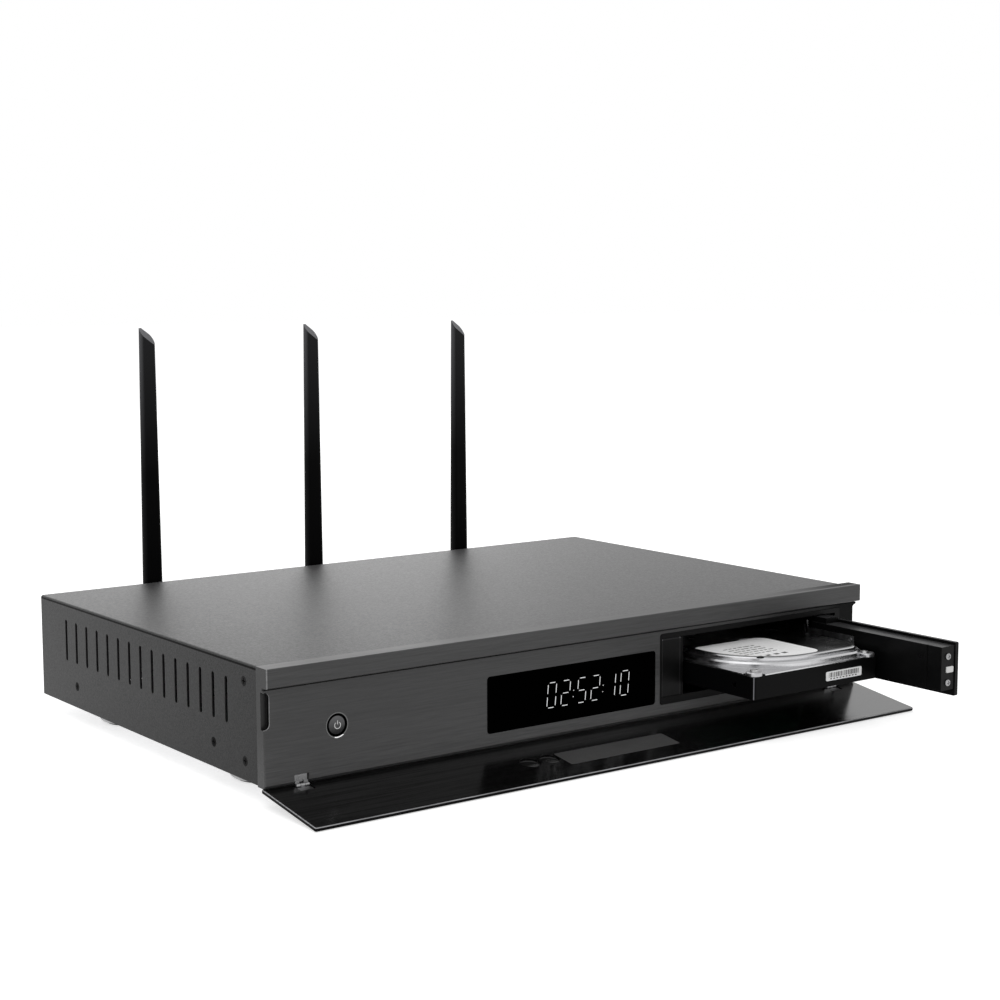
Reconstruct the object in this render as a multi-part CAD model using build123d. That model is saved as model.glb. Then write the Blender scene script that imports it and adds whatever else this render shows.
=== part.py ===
from build123d import *
import os
from math import cos, radians, sin

# A hi-fi width media player with a drop-down front flap, a drive rack with a side-hung
# door, and three aerials. Sizes are in millimetres and angles in degrees.
# X runs along the front, Y from the front to the back and Z up. While the pieces are
# built, Y = 0 is the front of the top bar and Z = 0 is the surface that the feet stand on.

# Case
case_width = 425.0
case_depth = 274.5
case_height = 62.2
foot_height = 10.0
sheet = 1.0
cover_bend = 1.5
cover_reveal = 0.4
fit_gap = 0.1
over = 1.0

# Front panel
panel_width = 430.0
panel_thickness = 10.7
panel_lift = 0.6
panel_rise = 1.2
top_bar_height = 10.4
recess_depth = 3.6
panel_web = 3.0
panel_rim = 7.0
panel_edge_round = 0.8
panel_end_chamfer = 0.5
panel_foot_chamfer = 1.5
groove_height = 1.2
groove_depth = 1.4
finger_notch_height = 19.5
finger_notch_width = 3.6
finger_notch_depth = 3.0
finger_notch_round = 3.0
finger_notch_below_bar = 2.3
boss_radius = 3.0
board_setback = 1.6

# Display
display_width = 122.0
display_height = 32.2
display_corner = 2.0
display_gap = 3.6
display_centre_z = 34.7
display_sink = 0.25
display_glass = 2.4
tube_margin = 9.0
tube_height = 26.0
tube_corner = 1.0
tube_tip_radius = 1.6
tube_tip_length = 3.0
display_board_margin = 3.0
display_board_height = 38.0
display_plug = (28.0, 7.0, 6.0)
display_chip = (14.0, 1.8, 14.0)
display_chip_from_centre = 37.0
ribbon_width = 20.0
ribbon_thickness = 0.8
ribbon_bend = 12.0
ribbon_clearance = 10.0
ribbon_end = 12.0

# Power button
button_from_side = 40.9
button_z = 38.1
button_radius = 5.8
button_ring_wall = 0.6
button_gap = 0.45
button_proud = 0.6
button_travel = 1.0
button_flange = 1.4
button_flange_thickness = 1.2
button_dome = 1.1
button_stem_radius = 2.0
button_board_half = 9.0
button_board_boss = 15.5
switch_half = 3.0
switch_body = 1.6
switch_plunger = 0.8
switch_plunger_radius = 1.7

# Flap and its hinges
flap_thickness = 2.2
flap_reach = 50.0
flap_overhang = 3.9
flap_open_angle = 98.4
flap_face_gap = 0.1
flap_corner = 1.2
flap_edge_chamfer = 0.4
hinge_drop = 0.8
hinge_back = 0.2
hinge_from_end = 21.9
hinge_width = 7.8
hinge_leaf = 0.8
hinge_leaf_height = 4.6
hinge_leaf_reach = 6.0
hinge_knuckle_radius = 1.1
hinge_knuckle_gap = 0.1
hinge_pin_radius = 0.45
hinge_pin_slack = 0.05
hinge_notch_width = 8.8
hinge_notch_height = 4.9
hinge_slack = 0.3
flap_window_width = 79.0
flap_window_height = 17.0
flap_window_corner = 1.5
flap_window_from_display = 9.7
flap_window_from_hinge = 27.5
flap_lens_radius = 5.9
flap_lens_from_display = (-50.0, -36.5)
flap_lens_from_hinge = 24.3
flap_lens_lip = 0.7

# Drive rack bezel
bezel_width = 149.0
bezel_height = 42.2
bezel_from_side = 87.5
bezel_centre_z = 38.8
bezel_corner = 1.5
bezel_proud = 0.3
bezel_depth = 9.0
bay_side_left = 17.6
bay_side_right = 4.0
bay_bottom = 22.0
bay_top = 57.0
bay_wall = 1.0
key_width = 15.4
key_height = 35.0
key_side_gap = 0.2
key_travel = 1.5
key_thickness = 2.6
key_corner = 0.8
key_ledge_side = 2.0
key_ledge_end = 4.0
key_stem_wall = 1.8

# Rack door
door_pin_from_bay = 12.8
door_pin_y = 14.3
door_pin_radius = 1.25
door_pin_slack = 0.06
door_open_angle = 90.0
door_reach = 113.8
door_heel = 7.9
door_face_offset = 9.3
door_plate_thickness = 2.6
door_plate_corner = 0.8
door_plate_bottom = 22.8
door_plate_top = 54.8
door_box_bottom = 27.0
door_box_top = 53.0
door_box_inner = 4.7
door_box_wall = 1.6
door_box_heel = 8.0
door_end_gap = 0.6
door_step_from_end = 12.0
door_step_width = 1.2
door_step_depth = 0.6
door_ear_radius = 4.0
door_ear_height = 3.2
door_ear_reach = 12.0
door_ear_top_gap = 0.6
door_screw_z = (31.5, 47.1)
door_screw_back = 0.6
door_screw_radius = 2.0
door_screw_height = 1.0
door_screw_cross = 1.2
door_latch_z = 39.2
door_latch_back = -2.3
door_latch_width = 6.0
door_latch_height = 3.6
door_latch_proud = 0.5
door_latch_corner = 0.7
door_latch_travel = 1.5
door_latch_length = 12.0
door_guide_wall = 1.2
strap_bottom = 44.0
strap_height = 5.0
strap_thickness = 0.8
strap_reach = 44.5
rivet_radius = 1.4
rivet_height = 0.5

# Hard drive
drive_width = 101.6
drive_length = 147.0
drive_height = 20.2
drive_from_bay = 72.9
drive_bottom = 27.8
drive_front_out = -53.0
drive_front_docked = 20.6
drive_corner_round = 2.0
drive_body_height = 13.2
drive_pad_height = 15.4
drive_pad_size = 9.0
drive_pad_round = 3.5
drive_pad_chamfer = 0.5
drive_flange = 0.8
drive_flange_inset = 0.3
drive_skirt_height = 17.4
drive_skirt_inset = 2.2
drive_skirt_rounds = (46.0, 16.0)
drive_crown_inset = 5.6
drive_crown_rounds = (43.0, 12.0)
drive_lid_bevel = 1.0
drive_lid_gap = 0.4
drive_lid_sheet = 1.0
drive_hub_from_front = 50.6
drive_hub_radii = (12.0, 9.0)
drive_hub_depth = 0.5
drive_room_radius = 44.0
drive_room_floor = 5.0
drive_room_tail = 12.0
drive_under = 2.4
drive_under_front = 6.0
drive_bore_radius = 1.6
drive_bore_depth = 3.0
drive_bore_from_front = (16.0, 76.0, 118.0)
drive_bore_height = 6.35
drive_board_thickness = 1.2
drive_board_gap = 0.4
drive_board_from_front = 46.0
drive_board_corner = 3.0
drive_rail_depth = 9.0
drive_socket_width = 42.0
drive_socket_depth = 8.0
drive_socket_height = 6.0
drive_socket_wall = 1.4
drive_socket_end = 3.0
drive_label_width = 58.0
drive_label_length = 52.0
drive_label_corner = 7.0
drive_label_left = 17.4
drive_label_back = 7.0
drive_end_label = (30.0, 5.6)
drive_end_label_corner = 1.0
drive_end_label_right = 22.5
drive_end_label_up = 6.2
label_thickness = 0.15
drive_screw_radius = 2.4
drive_screw_height = 0.9
drive_screw_socket = 1.0
drive_screw_inset = 5.4

# Rack frame
cage_wall = 1.0
cage_back = 178.0
cage_front = 12.5
cage_margin = 1.6
cage_lip = 8.0
cage_leg = 10.0
cage_leg_inset = 6.0
cage_leg_places = (20.0, 151.5)
cage_window = (64.0, 14.0)
cage_window_corner = 4.0
cage_window_count = 5
cage_window_first = 44.0
cage_window_pitch = 26.0
guide_gap = 1.5
guide_thickness = 0.8
guide_front = 9.0
guide_bottom = 29.4
guide_top = 51.0
guide_back = 23.7
guide_leg = 3.1
rail_front = 24.0
rail_back = 165.0
rail_side_gap = 0.5
rail_wall = 2.6
rail_ledge = 5.0
rail_run_gap = 0.3
rail_base = 2.4
rail_wall_top = 50.0
backplane_y = 172.0
backplane_vent = (20.0, 8.0)
backplane_vent_corner = 3.5
backplane_vent_pitch = 30.0
backplane_vent_z = 49.0
board_thickness = 1.6
plug_gap = 0.5
plug_half = 24.0
plug_half_height = 4.0
plug_tongue_half = 1.1
plug_tongue_reach = 5.0
plug_tongue_side = 4.0

# Rear connectors
inlet_from_side = 29.5
inlet_z = 38.0
inlet_width = 27.0
inlet_height = 19.8
inlet_depth = 16.0
inlet_wall = 2.0
inlet_round = 1.5
inlet_flange = 3.0
inlet_flange_thickness = 1.6
inlet_blade = (2.0, 10.0, 4.0)
inlet_blade_places = ((-7.0, -2.0), (0.0, 2.0), (7.0, -2.0))
rocker_from_inlet = 33.0
rocker_z = 38.0
rocker_width = 12.0
rocker_height = 18.0
rocker_depth = 14.0
rocker_well = 9.0
rocker_wall = 1.2
rocker_side_gap = 0.4
rocker_end_gap = 1.4
rocker_flange = 2.0
rocker_flange_thickness = 1.2
rocker_angle = 8.0
rocker_pivot_in = 3.0
rocker_back = 3.0
rocker_tip = 3.4
rocker_dip = 1.2
rocker_axle_radius = 1.3
rocker_axle_slack = 0.05
rocker_axle_end = 0.5
socket_wall = 0.8
socket_thin_wall = 0.5
socket_floor = 2.0
socket_depth = 12.0
usb_from_board = (54.0, 72.0)
usb_width = 13.1
usb_height = 5.7
hdmi_from_board = (98.0, 122.0)
hdmi_width = 15.0
hdmi_height = 5.8
network_from_board = 152.0
network_width = 13.6
network_height = 11.4
optical_from_board = 172.0
optical_size = 9.6
optical_depth = 10.0
optical_shutter = 5.4
optical_shutter_sink = 0.8
audio_from_board = (212.0, 228.0, 244.0)
audio_z = 30.0
audio_radius = 4.15
audio_length = 9.0
audio_bore = 1.7
audio_base_half = 5.0
audio_base_depth = 12.0

# Aerials
aerial_from_left = 85.0
aerial_from_right = 95.0
aerial_z = 52.0
jack_radius = 3.1
jack_length = 7.8
jack_inside = 6.0
jack_nut_size = 9.0
jack_nut_height = 2.0
aerial_collar_radius = 5.5
aerial_collar_gap = 0.3
aerial_collar_length = 10.4
aerial_collar_chamfer = 0.6
aerial_rib_count = 8
aerial_rib_radius = 0.75
aerial_rib_out = 0.35
aerial_rib_ends = (1.2, 3.5)
aerial_slack = 0.08
aerial_pivot_back = 17.8
aerial_ear_radius = 4.4
aerial_ear_width = 2.4
aerial_tongue_width = 4.6
aerial_tongue_slack = 0.12
aerial_pin_radius = 1.2
aerial_length = 183.0
aerial_shoulder = 5.4
aerial_base_width = 13.2
aerial_tip_width = 10.4
aerial_base_depth = 7.0
aerial_tip_depth = 5.2
aerial_base_round = 3.0
aerial_tip_round = 2.4
aerial_cut_drops = (-2.0, 4.0, 11.7)

# Vent slots and cover screws
slot_count = 15
slot_width = 2.8
slot_height = 25.0
slot_first_y = 47.3
slot_pitch = 14.37
slot_bottom = 37.0
side_screw_places = ((62.0, 23.7), (234.7, 23.1), (28.0, 62.5), (28.0, 20.2))
screw_head_radius = 2.7
screw_head_height = 1.5
screw_shank_radius = 1.4
screw_hole_radius = 1.5
screw_length = 5.0
screw_cross_width = 0.7
screw_cross_length = 3.2
screw_cross_depth = 0.6

# Feet
foot_from_side = 29.5
foot_y = (62.0, 225.0)
foot_radius = 18.0
foot_pad_radius = 14.5
foot_pad_height = 3.0
foot_pad_sink = 1.4
foot_dish = 1.2
foot_nut_height = 2.0

# Inside
pan_flange = 16.0
pan_lip_top = 15.2
pan_upright = (20.0, 36.0)
pan_upright_top = 69.0
main_board_from_side = 62.5
main_board_width = 190.0
main_board_from_back = 5.2
main_board_depth = 93.0
standoff_height = 6.0
standoff_radius = 2.75
board_inset = 5.0
power_board_from_side = 8.5
power_board_width = 84.0
power_board_y = (40.0, 168.0)
chip_from_board = (98.0, 32.0)
chip_size = 24.0
chip_height = 2.0
sink_from_board = (80.0, 16.0)
sink_size = (60.0, 56.0)
sink_base = 4.0
sink_height = 24.0
sink_fins = 9
sink_fin = 2.0
transformer_from_board = (44.0, 56.0)
transformer_core = (32.0, 12.0, 26.0)
transformer_winding = 24.0
transformer_lift = 4.0
transformer_round = 4.0
capacitor_chamfer = 0.8
capacitor_places = (
    (16.0, 20.0, 9.0, 30.0),
    (68.0, 18.0, 6.3, 24.0),
    (68.0, 36.0, 6.3, 24.0),
    (68.0, 90.0, 5.0, 20.0),
    (68.0, 104.0, 5.0, 20.0),
)

# Worked out from the sizes above
half_case = case_width / 2
case_bottom = foot_height
case_top = case_bottom + case_height
case_front = panel_thickness
case_back = case_front + case_depth
rear_outer = case_back
rear_inner = case_back - sheet
pan_top = case_bottom + sheet
panel_bottom = case_bottom + panel_lift
panel_top = case_top + panel_rise
bar_bottom = panel_top - top_bar_height
web_back = recess_depth + panel_web
board_front = case_front + board_setback
hinge_x = panel_width / 2 - hinge_from_end
hinge_y = recess_depth - hinge_back
hinge_z = panel_bottom - hinge_drop
flap_inner = hinge_y - flap_face_gap
flap_outer = flap_inner - flap_thickness
bezel_centre_x = half_case - bezel_from_side
bezel_left = bezel_centre_x - bezel_width / 2
bezel_right = bezel_centre_x + bezel_width / 2
bezel_front = recess_depth - bezel_proud
bezel_back = bezel_front + bezel_depth
bezel_bottom = bezel_centre_z - bezel_height / 2
bezel_top = bezel_centre_z + bezel_height / 2
bay_left = bezel_left + bay_side_left
bay_right = bezel_right - bay_side_right
key_right = bay_left - bay_wall
key_left = key_right - key_width
key_bottom = (bay_bottom + bay_top) / 2 - key_height / 2
display_centre_x = bezel_left - display_gap - display_width / 2
display_board_width = display_width + 2 * display_board_margin
tube_width = display_width - 2 * tube_margin
flap_window_x = display_centre_x + flap_window_from_display
flap_lens_x = [display_centre_x + offset for offset in flap_lens_from_display]
button_x = button_from_side - half_case
switch_tip = board_front - switch_body - switch_plunger
door_pin_x = bay_right - door_pin_from_bay
door_plate_back = door_plate_thickness - door_face_offset
door_box_reach = door_reach - door_end_gap
door_step_reach = door_reach - door_step_from_end
drive_centre_x = bay_right - drive_from_bay
drive_left = drive_centre_x - drive_width / 2
drive_right = drive_centre_x + drive_width / 2
drive_front = drive_front_out
drive_rear = drive_front + drive_length
drive_top = drive_bottom + drive_height
drive_body_top = drive_bottom + drive_body_height
drive_pad_top = drive_bottom + drive_pad_height
plug_centre_z = drive_bottom + drive_socket_height / 2 + drive_board_thickness
cage_left = bezel_left + cage_margin
cage_right = bezel_right - cage_margin
cage_floor = bezel_bottom + fit_gap
cage_top = bezel_top - cage_margin
foot_x = half_case - foot_from_side
board_low = pan_top + standoff_height
board_z = board_low + board_thickness
main_board_left = main_board_from_side - half_case
main_board_x = (main_board_left, main_board_left + main_board_width)
main_board_back = rear_inner - main_board_from_back
main_board_y = (main_board_back - main_board_depth, main_board_back)
power_board_left = power_board_from_side - half_case
power_board_x = (power_board_left, power_board_left + power_board_width)
socket_z = board_z
inlet_x = inlet_from_side - half_case
rocker_x = inlet_x + rocker_from_inlet
rocker_pivot_y = rear_outer - rocker_pivot_in
usb_x = [main_board_left + offset for offset in usb_from_board]
hdmi_x = [main_board_left + offset for offset in hdmi_from_board]
network_x = main_board_left + network_from_board
optical_x = main_board_left + optical_from_board
audio_x = [main_board_left + offset for offset in audio_from_board]
aerial_span = (aerial_from_left - half_case, half_case - aerial_from_right)
aerial_x = (aerial_span[0], sum(aerial_span) / 2, aerial_span[1])
aerial_pivot_y = rear_outer + aerial_pivot_back


def slab(x, y, z):
    """A block from a low and a high value along each axis."""
    centre = [(low + high) / 2 for low, high in (x, y, z)]
    size = [high - low for low, high in (x, y, z)]
    return Pos(*centre) * Box(*size)


def rod_x(radius, x, y, z):
    return Pos((x[0] + x[1]) / 2, y, z) * Rot(0, 90, 0) * Cylinder(radius, x[1] - x[0])


def rod_y(radius, x, y, z):
    return Pos(x, (y[0] + y[1]) / 2, z) * Rot(90, 0, 0) * Cylinder(radius, y[1] - y[0])


def rod_z(radius, x, y, z):
    return Pos(x, y, (z[0] + z[1]) / 2) * Cylinder(radius, z[1] - z[0])


def cone_x(radii, x, y, z):
    """A cone along X, from its radius at the low end to its radius at the high end."""
    return Pos((x[0] + x[1]) / 2, y, z) * Rot(0, 90, 0) * Cone(*radii, x[1] - x[0])


def prism_x(points, x):
    """Extrude a (y, z) outline along X."""
    outline = make_face(Polyline(*points, close=True))
    return extrude(Plane.YZ.offset(x[0]) * outline, amount=x[1] - x[0])


def prism_y(points, y):
    """Extrude an (x, z) outline along Y."""
    outline = make_face(Polyline(*points, close=True))
    return extrude(Plane.XZ.offset(-y[1]) * outline, amount=y[1] - y[0])


def prism_z(points, z):
    """Extrude an (x, y) outline along Z."""
    outline = make_face(Polyline(*points, close=True))
    return extrude(Plane.XY.offset(z[0]) * outline, amount=z[1] - z[0])


def rounded_y(width, height, corner, x, y, z):
    """A rounded plate that faces the front, centred on x and z."""
    outline = Plane.XZ.offset(-y[1]) * Pos(x, z) * RectangleRounded(width, height, corner)
    return extrude(outline, amount=y[1] - y[0])


def rounded_z(width, depth, corner, x, y, z):
    """A rounded plate that lies flat, centred on x and y."""
    outline = Plane.XY.offset(z[0]) * Pos(x, y) * RectangleRounded(width, depth, corner)
    return extrude(outline, amount=z[1] - z[0])


def mirrored(shape):
    return mirror(shape, about=Plane.YZ)


def edges_along(shape, axis):
    return shape.edges().filter_by(axis)


def around(centre, size):
    """Low and high values of a span of that size about its centre."""
    return (centre - size / 2, centre + size / 2)


def grown(span, margin):
    return (span[0] - margin, span[1] + margin)


# Case


def top_cover():
    """Folded sheet: the top and both sides in one piece, with the vent slots."""
    half = half_case
    front = case_front + cover_reveal
    outer = slab((-half, half), (front, case_back), (case_bottom, case_top))
    outer = fillet(edges_along(outer, Axis.Y).group_by(Axis.Z)[-1], cover_bend)
    inner_half = half - sheet
    inner = slab(
        (-inner_half, inner_half),
        (case_front - over, case_back + over),
        (case_bottom - over, case_top - sheet),
    )
    inner = fillet(edges_along(inner, Axis.Y).group_by(Axis.Z)[-1], cover_bend - sheet)
    cutters = []
    for index in range(slot_count):
        y = slot_first_y + index * slot_pitch
        slot = Rot(0, 0, 90) * SlotOverall(slot_height, slot_width)
        outline = Plane.YZ.offset(-half - over) * Pos(y, slot_bottom + slot_height / 2) * slot
        cutters.append(extrude(outline, amount=case_width + 2 * over))
    for y, z in side_screw_places:
        sink = cone_x((screw_hole_radius, screw_head_radius), (half - sheet, half), y, z)
        cutters.append(sink)
        cutters.append(mirrored(sink))
    return outer - inner - cutters


def side_screws():
    """Countersunk cross-head screws that hold the cover to the pan's flanges."""
    half = half_case
    group = []
    for y, z in side_screw_places:
        head = cone_x((screw_hole_radius, screw_head_radius), (half - sheet, half), y, z)
        shank = rod_x(screw_shank_radius, (half - screw_length, half - sheet / 2), y, z)
        depth = (half - screw_cross_depth, half + over)
        wide = slab(depth, around(y, screw_cross_length), around(z, screw_cross_width))
        tall = slab(depth, around(y, screw_cross_width), around(z, screw_cross_length))
        screw = head + shank - wide - tall
        group.append(screw)
        group.append(mirrored(screw))
    return group


def base_pan():
    """Folded sheet: the floor, the side flanges with front uprights, and a front lip."""
    half = half_case - sheet
    back = rear_inner - fit_gap
    front = case_front + fit_gap
    floor = slab((-half, half), (front, back), (case_bottom, pan_top))
    flange_top = case_bottom + pan_flange
    flange_outline = [
        (front, case_bottom),
        (back, case_bottom),
        (back, flange_top),
        (pan_upright[1], flange_top),
        (pan_upright[1], pan_upright_top),
        (pan_upright[0], pan_upright_top),
        (pan_upright[0], flange_top),
        (front, flange_top),
    ]
    flange = prism_x(flange_outline, (half - sheet, half))
    lip = slab((-half, half), (front, front + sheet), (case_bottom, pan_lip_top))
    pan = floor + flange + mirrored(flange) + lip
    cutters = []
    for y, z in side_screw_places:
        cutters.append(rod_x(screw_hole_radius, grown((-half, half), over), y, z))
    for side in (-1, 1):
        for y in foot_y:
            span = grown((case_bottom, pan_top), over)
            cutters.append(rod_z(screw_hole_radius, side * foot_x, y, span))
    return pan - cutters


def foot_body(x, y):
    """A turned ring with a dished underside that the rubber pad sits in."""
    ring = rod_z(foot_radius, x, y, (foot_pad_sink, foot_height))
    ring = chamfer(ring.edges().group_by(Axis.Z)[0], foot_dish)
    seat = rod_z(foot_pad_radius, x, y, (0, foot_pad_height))
    hole = rod_z(screw_hole_radius, x, y, (0, foot_height + sheet))
    return ring - seat - hole


def foot_pad(x, y):
    pad = rod_z(foot_pad_radius, x, y, (0, foot_pad_height))
    return fillet(pad.edges().group_by(Axis.Z)[0], foot_dish / 2)


def foot_screw(x, y):
    top = pan_top + foot_nut_height
    shank = rod_z(screw_shank_radius, x, y, (foot_pad_height + fit_gap, top))
    nut = rod_z(screw_head_radius, x, y, (pan_top, top))
    return shank + nut


def at_feet(maker):
    return [maker(side * foot_x, y) for side in (-1, 1) for y in foot_y]


# Front panel


def finger_notch():
    """The scoop in each end of the panel that lets a finger reach the flap's edge."""
    top = bar_bottom - finger_notch_below_bar
    edge = panel_width / 2
    notch = slab(
        (edge - finger_notch_width, edge + finger_notch_round),
        (recess_depth - over, recess_depth + finger_notch_depth),
        (top - finger_notch_height, top),
    )
    inner_edges = edges_along(notch, Axis.Y).group_by(Axis.X)[0]
    return fillet(inner_edges, finger_notch_round)


def end_chamfer(front, z):
    """The small chamfer down the front edge of the panel's right end."""
    edge = panel_width / 2
    outline = [
        (edge - panel_end_chamfer - over, front - over),
        (edge + over, front - over),
        (edge + over, front + panel_end_chamfer + over),
    ]
    return prism_z(outline, z)


def hinge_notch():
    deep = hinge_y + hinge_knuckle_radius + hinge_slack
    return slab(
        around(hinge_x, hinge_notch_width),
        (recess_depth - over, deep + hinge_leaf),
        (panel_bottom - over, panel_bottom + hinge_notch_height),
    )


def panel_boss(x, z):
    return rod_y(boss_radius, x, (web_back - fit_gap, board_front), z)


def boss_places():
    """Screw bosses for the display board and the button board."""
    half_x = display_board_width / 2 - boss_radius
    half_z = display_board_height / 2 - boss_radius
    places = []
    for side in (-1, 1):
        for level in (-1, 1):
            places.append((display_centre_x + side * half_x, display_centre_z + level * half_z))
    for level in (-1, 1):
        places.append((button_x, button_z + level * button_board_boss))
    return places


def front_panel():
    """The extruded bar with its recessed face, milled pocket and cut-outs."""
    chamfer_y = recess_depth + panel_foot_chamfer
    outline = [
        (0, panel_top),
        (panel_thickness, panel_top),
        (panel_thickness, panel_bottom),
        (chamfer_y, panel_bottom),
        (recess_depth, panel_bottom + panel_foot_chamfer),
        (recess_depth, bar_bottom - groove_height),
        (recess_depth + groove_depth, bar_bottom - groove_height),
        (recess_depth + groove_depth, bar_bottom),
        (0, bar_bottom),
    ]
    half = panel_width / 2
    panel = prism_x(outline, (-half, half))
    front_edges = edges_along(panel, Axis.X).group_by(Axis.Y)[0]
    panel = fillet(front_edges, panel_edge_round)
    pocket = slab(
        (-half + panel_rim, half - panel_rim),
        (web_back, panel_thickness + over),
        (panel_bottom + panel_rim, bar_bottom),
    )
    panel = panel - pocket
    for x, z in boss_places():
        panel = panel + panel_boss(x, z)
    display_cut = rounded_y(
        display_width,
        display_height,
        display_corner,
        display_centre_x,
        (0, web_back + over),
        display_centre_z,
    )
    bay_cut = rounded_y(
        bezel_width + 2 * fit_gap,
        bezel_height + 2 * fit_gap,
        bezel_corner,
        bezel_centre_x,
        (0, panel_thickness + over),
        bezel_centre_z,
    )
    hole_radius = button_radius + button_gap + button_ring_wall
    button_cut = rod_y(hole_radius, button_x, (0, web_back + over), button_z)
    bar_end = end_chamfer(0, (bar_bottom - over, panel_top + over))
    face_end = end_chamfer(recess_depth, (panel_bottom - over, bar_bottom - groove_height))
    cutters = [display_cut, bay_cut, button_cut]
    for cutter in (finger_notch(), hinge_notch(), bar_end, face_end):
        cutters.append(cutter)
        cutters.append(mirrored(cutter))
    return panel - cutters


def display_window():
    return rounded_y(
        display_width - 2 * fit_gap,
        display_height - 2 * fit_gap,
        display_corner - fit_gap,
        display_centre_x,
        (recess_depth + display_sink, recess_depth + display_sink + display_glass),
        display_centre_z,
    )


def display_tube():
    """The flat glass display with its sealing tip, on the board behind the window."""
    front = recess_depth + display_sink + display_glass + fit_gap
    glass = rounded_y(
        tube_width,
        tube_height,
        tube_corner,
        display_centre_x,
        (front, board_front),
        display_centre_z,
    )
    tip_x = display_centre_x + tube_width / 2
    tip_span = (tip_x - over, tip_x + tube_tip_length)
    tip = rod_x(tube_tip_radius, tip_span, (front + board_front) / 2, display_centre_z)
    return glass + tip


def display_board():
    back = board_front + board_thickness
    board = slab(
        around(display_centre_x, display_board_width),
        (board_front, back),
        around(display_centre_z, display_board_height),
    )
    plug = slab(
        around(display_centre_x, display_plug[0]),
        (back, back + display_plug[1]),
        around(display_centre_z, display_plug[2]),
    )
    chip = slab(
        around(display_centre_x + display_chip_from_centre, display_chip[0]),
        (back, back + display_chip[1]),
        around(display_centre_z, display_chip[2]),
    )
    return board + plug + chip


def button_ring():
    outer = rod_y(
        button_radius + button_gap + button_ring_wall,
        button_x,
        (recess_depth - fit_gap, web_back),
        button_z,
    )
    inner = rod_y(button_radius + button_gap, button_x, (0, web_back + 1), button_z)
    return outer - inner


def power_button():
    """A domed cap with a flange behind the panel and a stem that reaches the switch."""
    edge = recess_depth - button_proud + button_dome
    flange_front = web_back + 2 * fit_gap
    flange_back = flange_front + button_flange_thickness
    stem_end = switch_tip - button_travel - fit_gap
    profile = [
        (0, edge - button_dome),
        (button_radius * cos(radians(45)), edge - button_dome / 2),
        (button_radius, edge),
        (button_radius, flange_front),
        (button_radius + button_flange, flange_front),
        (button_radius + button_flange, flange_back),
        (button_stem_radius, flange_back),
        (button_stem_radius, stem_end),
        (0, stem_end),
    ]
    dome = ThreePointArc(profile[0], profile[1], profile[2])
    sides = Polyline(*profile[2:], profile[0])
    section = make_face(dome + sides)
    turned = revolve(section, Axis.Y)
    return Pos(button_x, 0, button_z) * turned


def button_board():
    """The small board behind the power button."""
    height = button_board_boss + boss_radius
    return slab(
        grown((button_x, button_x), button_board_half),
        (board_front, board_front + board_thickness),
        grown((button_z, button_z), height),
    )


def button_switch():
    body_front = switch_tip + switch_plunger
    body = slab(
        grown((button_x, button_x), switch_half),
        (body_front, board_front),
        grown((button_z, button_z), switch_half),
    )
    plunger = rod_y(switch_plunger_radius, button_x, (switch_tip, body_front), button_z)
    return body + plunger


# Flap


def opened_flap(shape):
    """Turn a piece from the shut position to the open one, about the hinge line."""
    return Pos(0, hinge_y, hinge_z) * Rot(flap_open_angle, 0, 0) * Pos(0, -hinge_y, -hinge_z) * shape


def leaf_pocket():
    """Room in the flap for a hinge's leaf and knuckle."""
    room = hinge_knuckle_radius + hinge_slack
    return slab(
        around(hinge_x, hinge_notch_width),
        (hinge_y - room, flap_inner + over),
        (hinge_z - room, hinge_z + hinge_leaf_reach + hinge_slack),
    )


def flap_panel():
    half = panel_width / 2
    panel = slab(
        (-half, half), (flap_outer, flap_inner), (hinge_z - flap_overhang, hinge_z + flap_reach)
    )
    panel = fillet(edges_along(panel, Axis.Y), flap_corner)
    for index in (0, -1):
        panel = chamfer(panel.edges().group_by(Axis.Y)[index], flap_edge_chamfer)
    depth = grown((flap_outer, flap_inner), over)
    window = rounded_y(
        flap_window_width,
        flap_window_height,
        flap_window_corner,
        flap_window_x,
        depth,
        hinge_z + flap_window_from_hinge,
    )
    cutters = [window, leaf_pocket(), mirrored(leaf_pocket())]
    for x in flap_lens_x:
        cutters.append(rod_y(flap_lens_radius, x, depth, hinge_z + flap_lens_from_hinge))
    return opened_flap(panel - cutters)


def flap_window():
    """A tinted strip set flush in the flap, in front of the display when it is shut."""
    pane = rounded_y(
        flap_window_width - 2 * fit_gap,
        flap_window_height - 2 * fit_gap,
        flap_window_corner,
        flap_window_x,
        (flap_outer + fit_gap, flap_inner - fit_gap),
        hinge_z + flap_window_from_hinge,
    )
    return opened_flap(pane)


def flap_lens(x):
    """A round lens with a low dome on the inside."""
    z = hinge_z + flap_lens_from_hinge
    rim = flap_lens_radius - fit_gap
    edge = flap_inner - flap_lens_lip
    back = flap_outer + fit_gap
    middle = (rim * cos(radians(45)), flap_inner - flap_lens_lip / 2)
    dome = ThreePointArc((0, flap_inner), middle, (rim, edge))
    sides = Polyline((rim, edge), (rim, back), (0, back), (0, flap_inner))
    turned = revolve(make_face(dome + sides), Axis.Y)
    return opened_flap(Pos(x, 0, z) * turned)


def pin_bore(x):
    return rod_x(hinge_pin_radius + hinge_pin_slack, x, hinge_y, hinge_z)


def knuckle(x):
    """One length of a hinge's knuckle, bored for the pin."""
    return rod_x(hinge_knuckle_radius, x, hinge_y, hinge_z) - pin_bore(x)


def knuckle_spans():
    """Three knuckle lengths across a hinge: the outer two are the fixed leaf's."""
    third = hinge_width / 3
    start = hinge_x - hinge_width / 2
    return [
        grown((start + index * third, start + (index + 1) * third), -hinge_knuckle_gap)
        for index in range(3)
    ]


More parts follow.
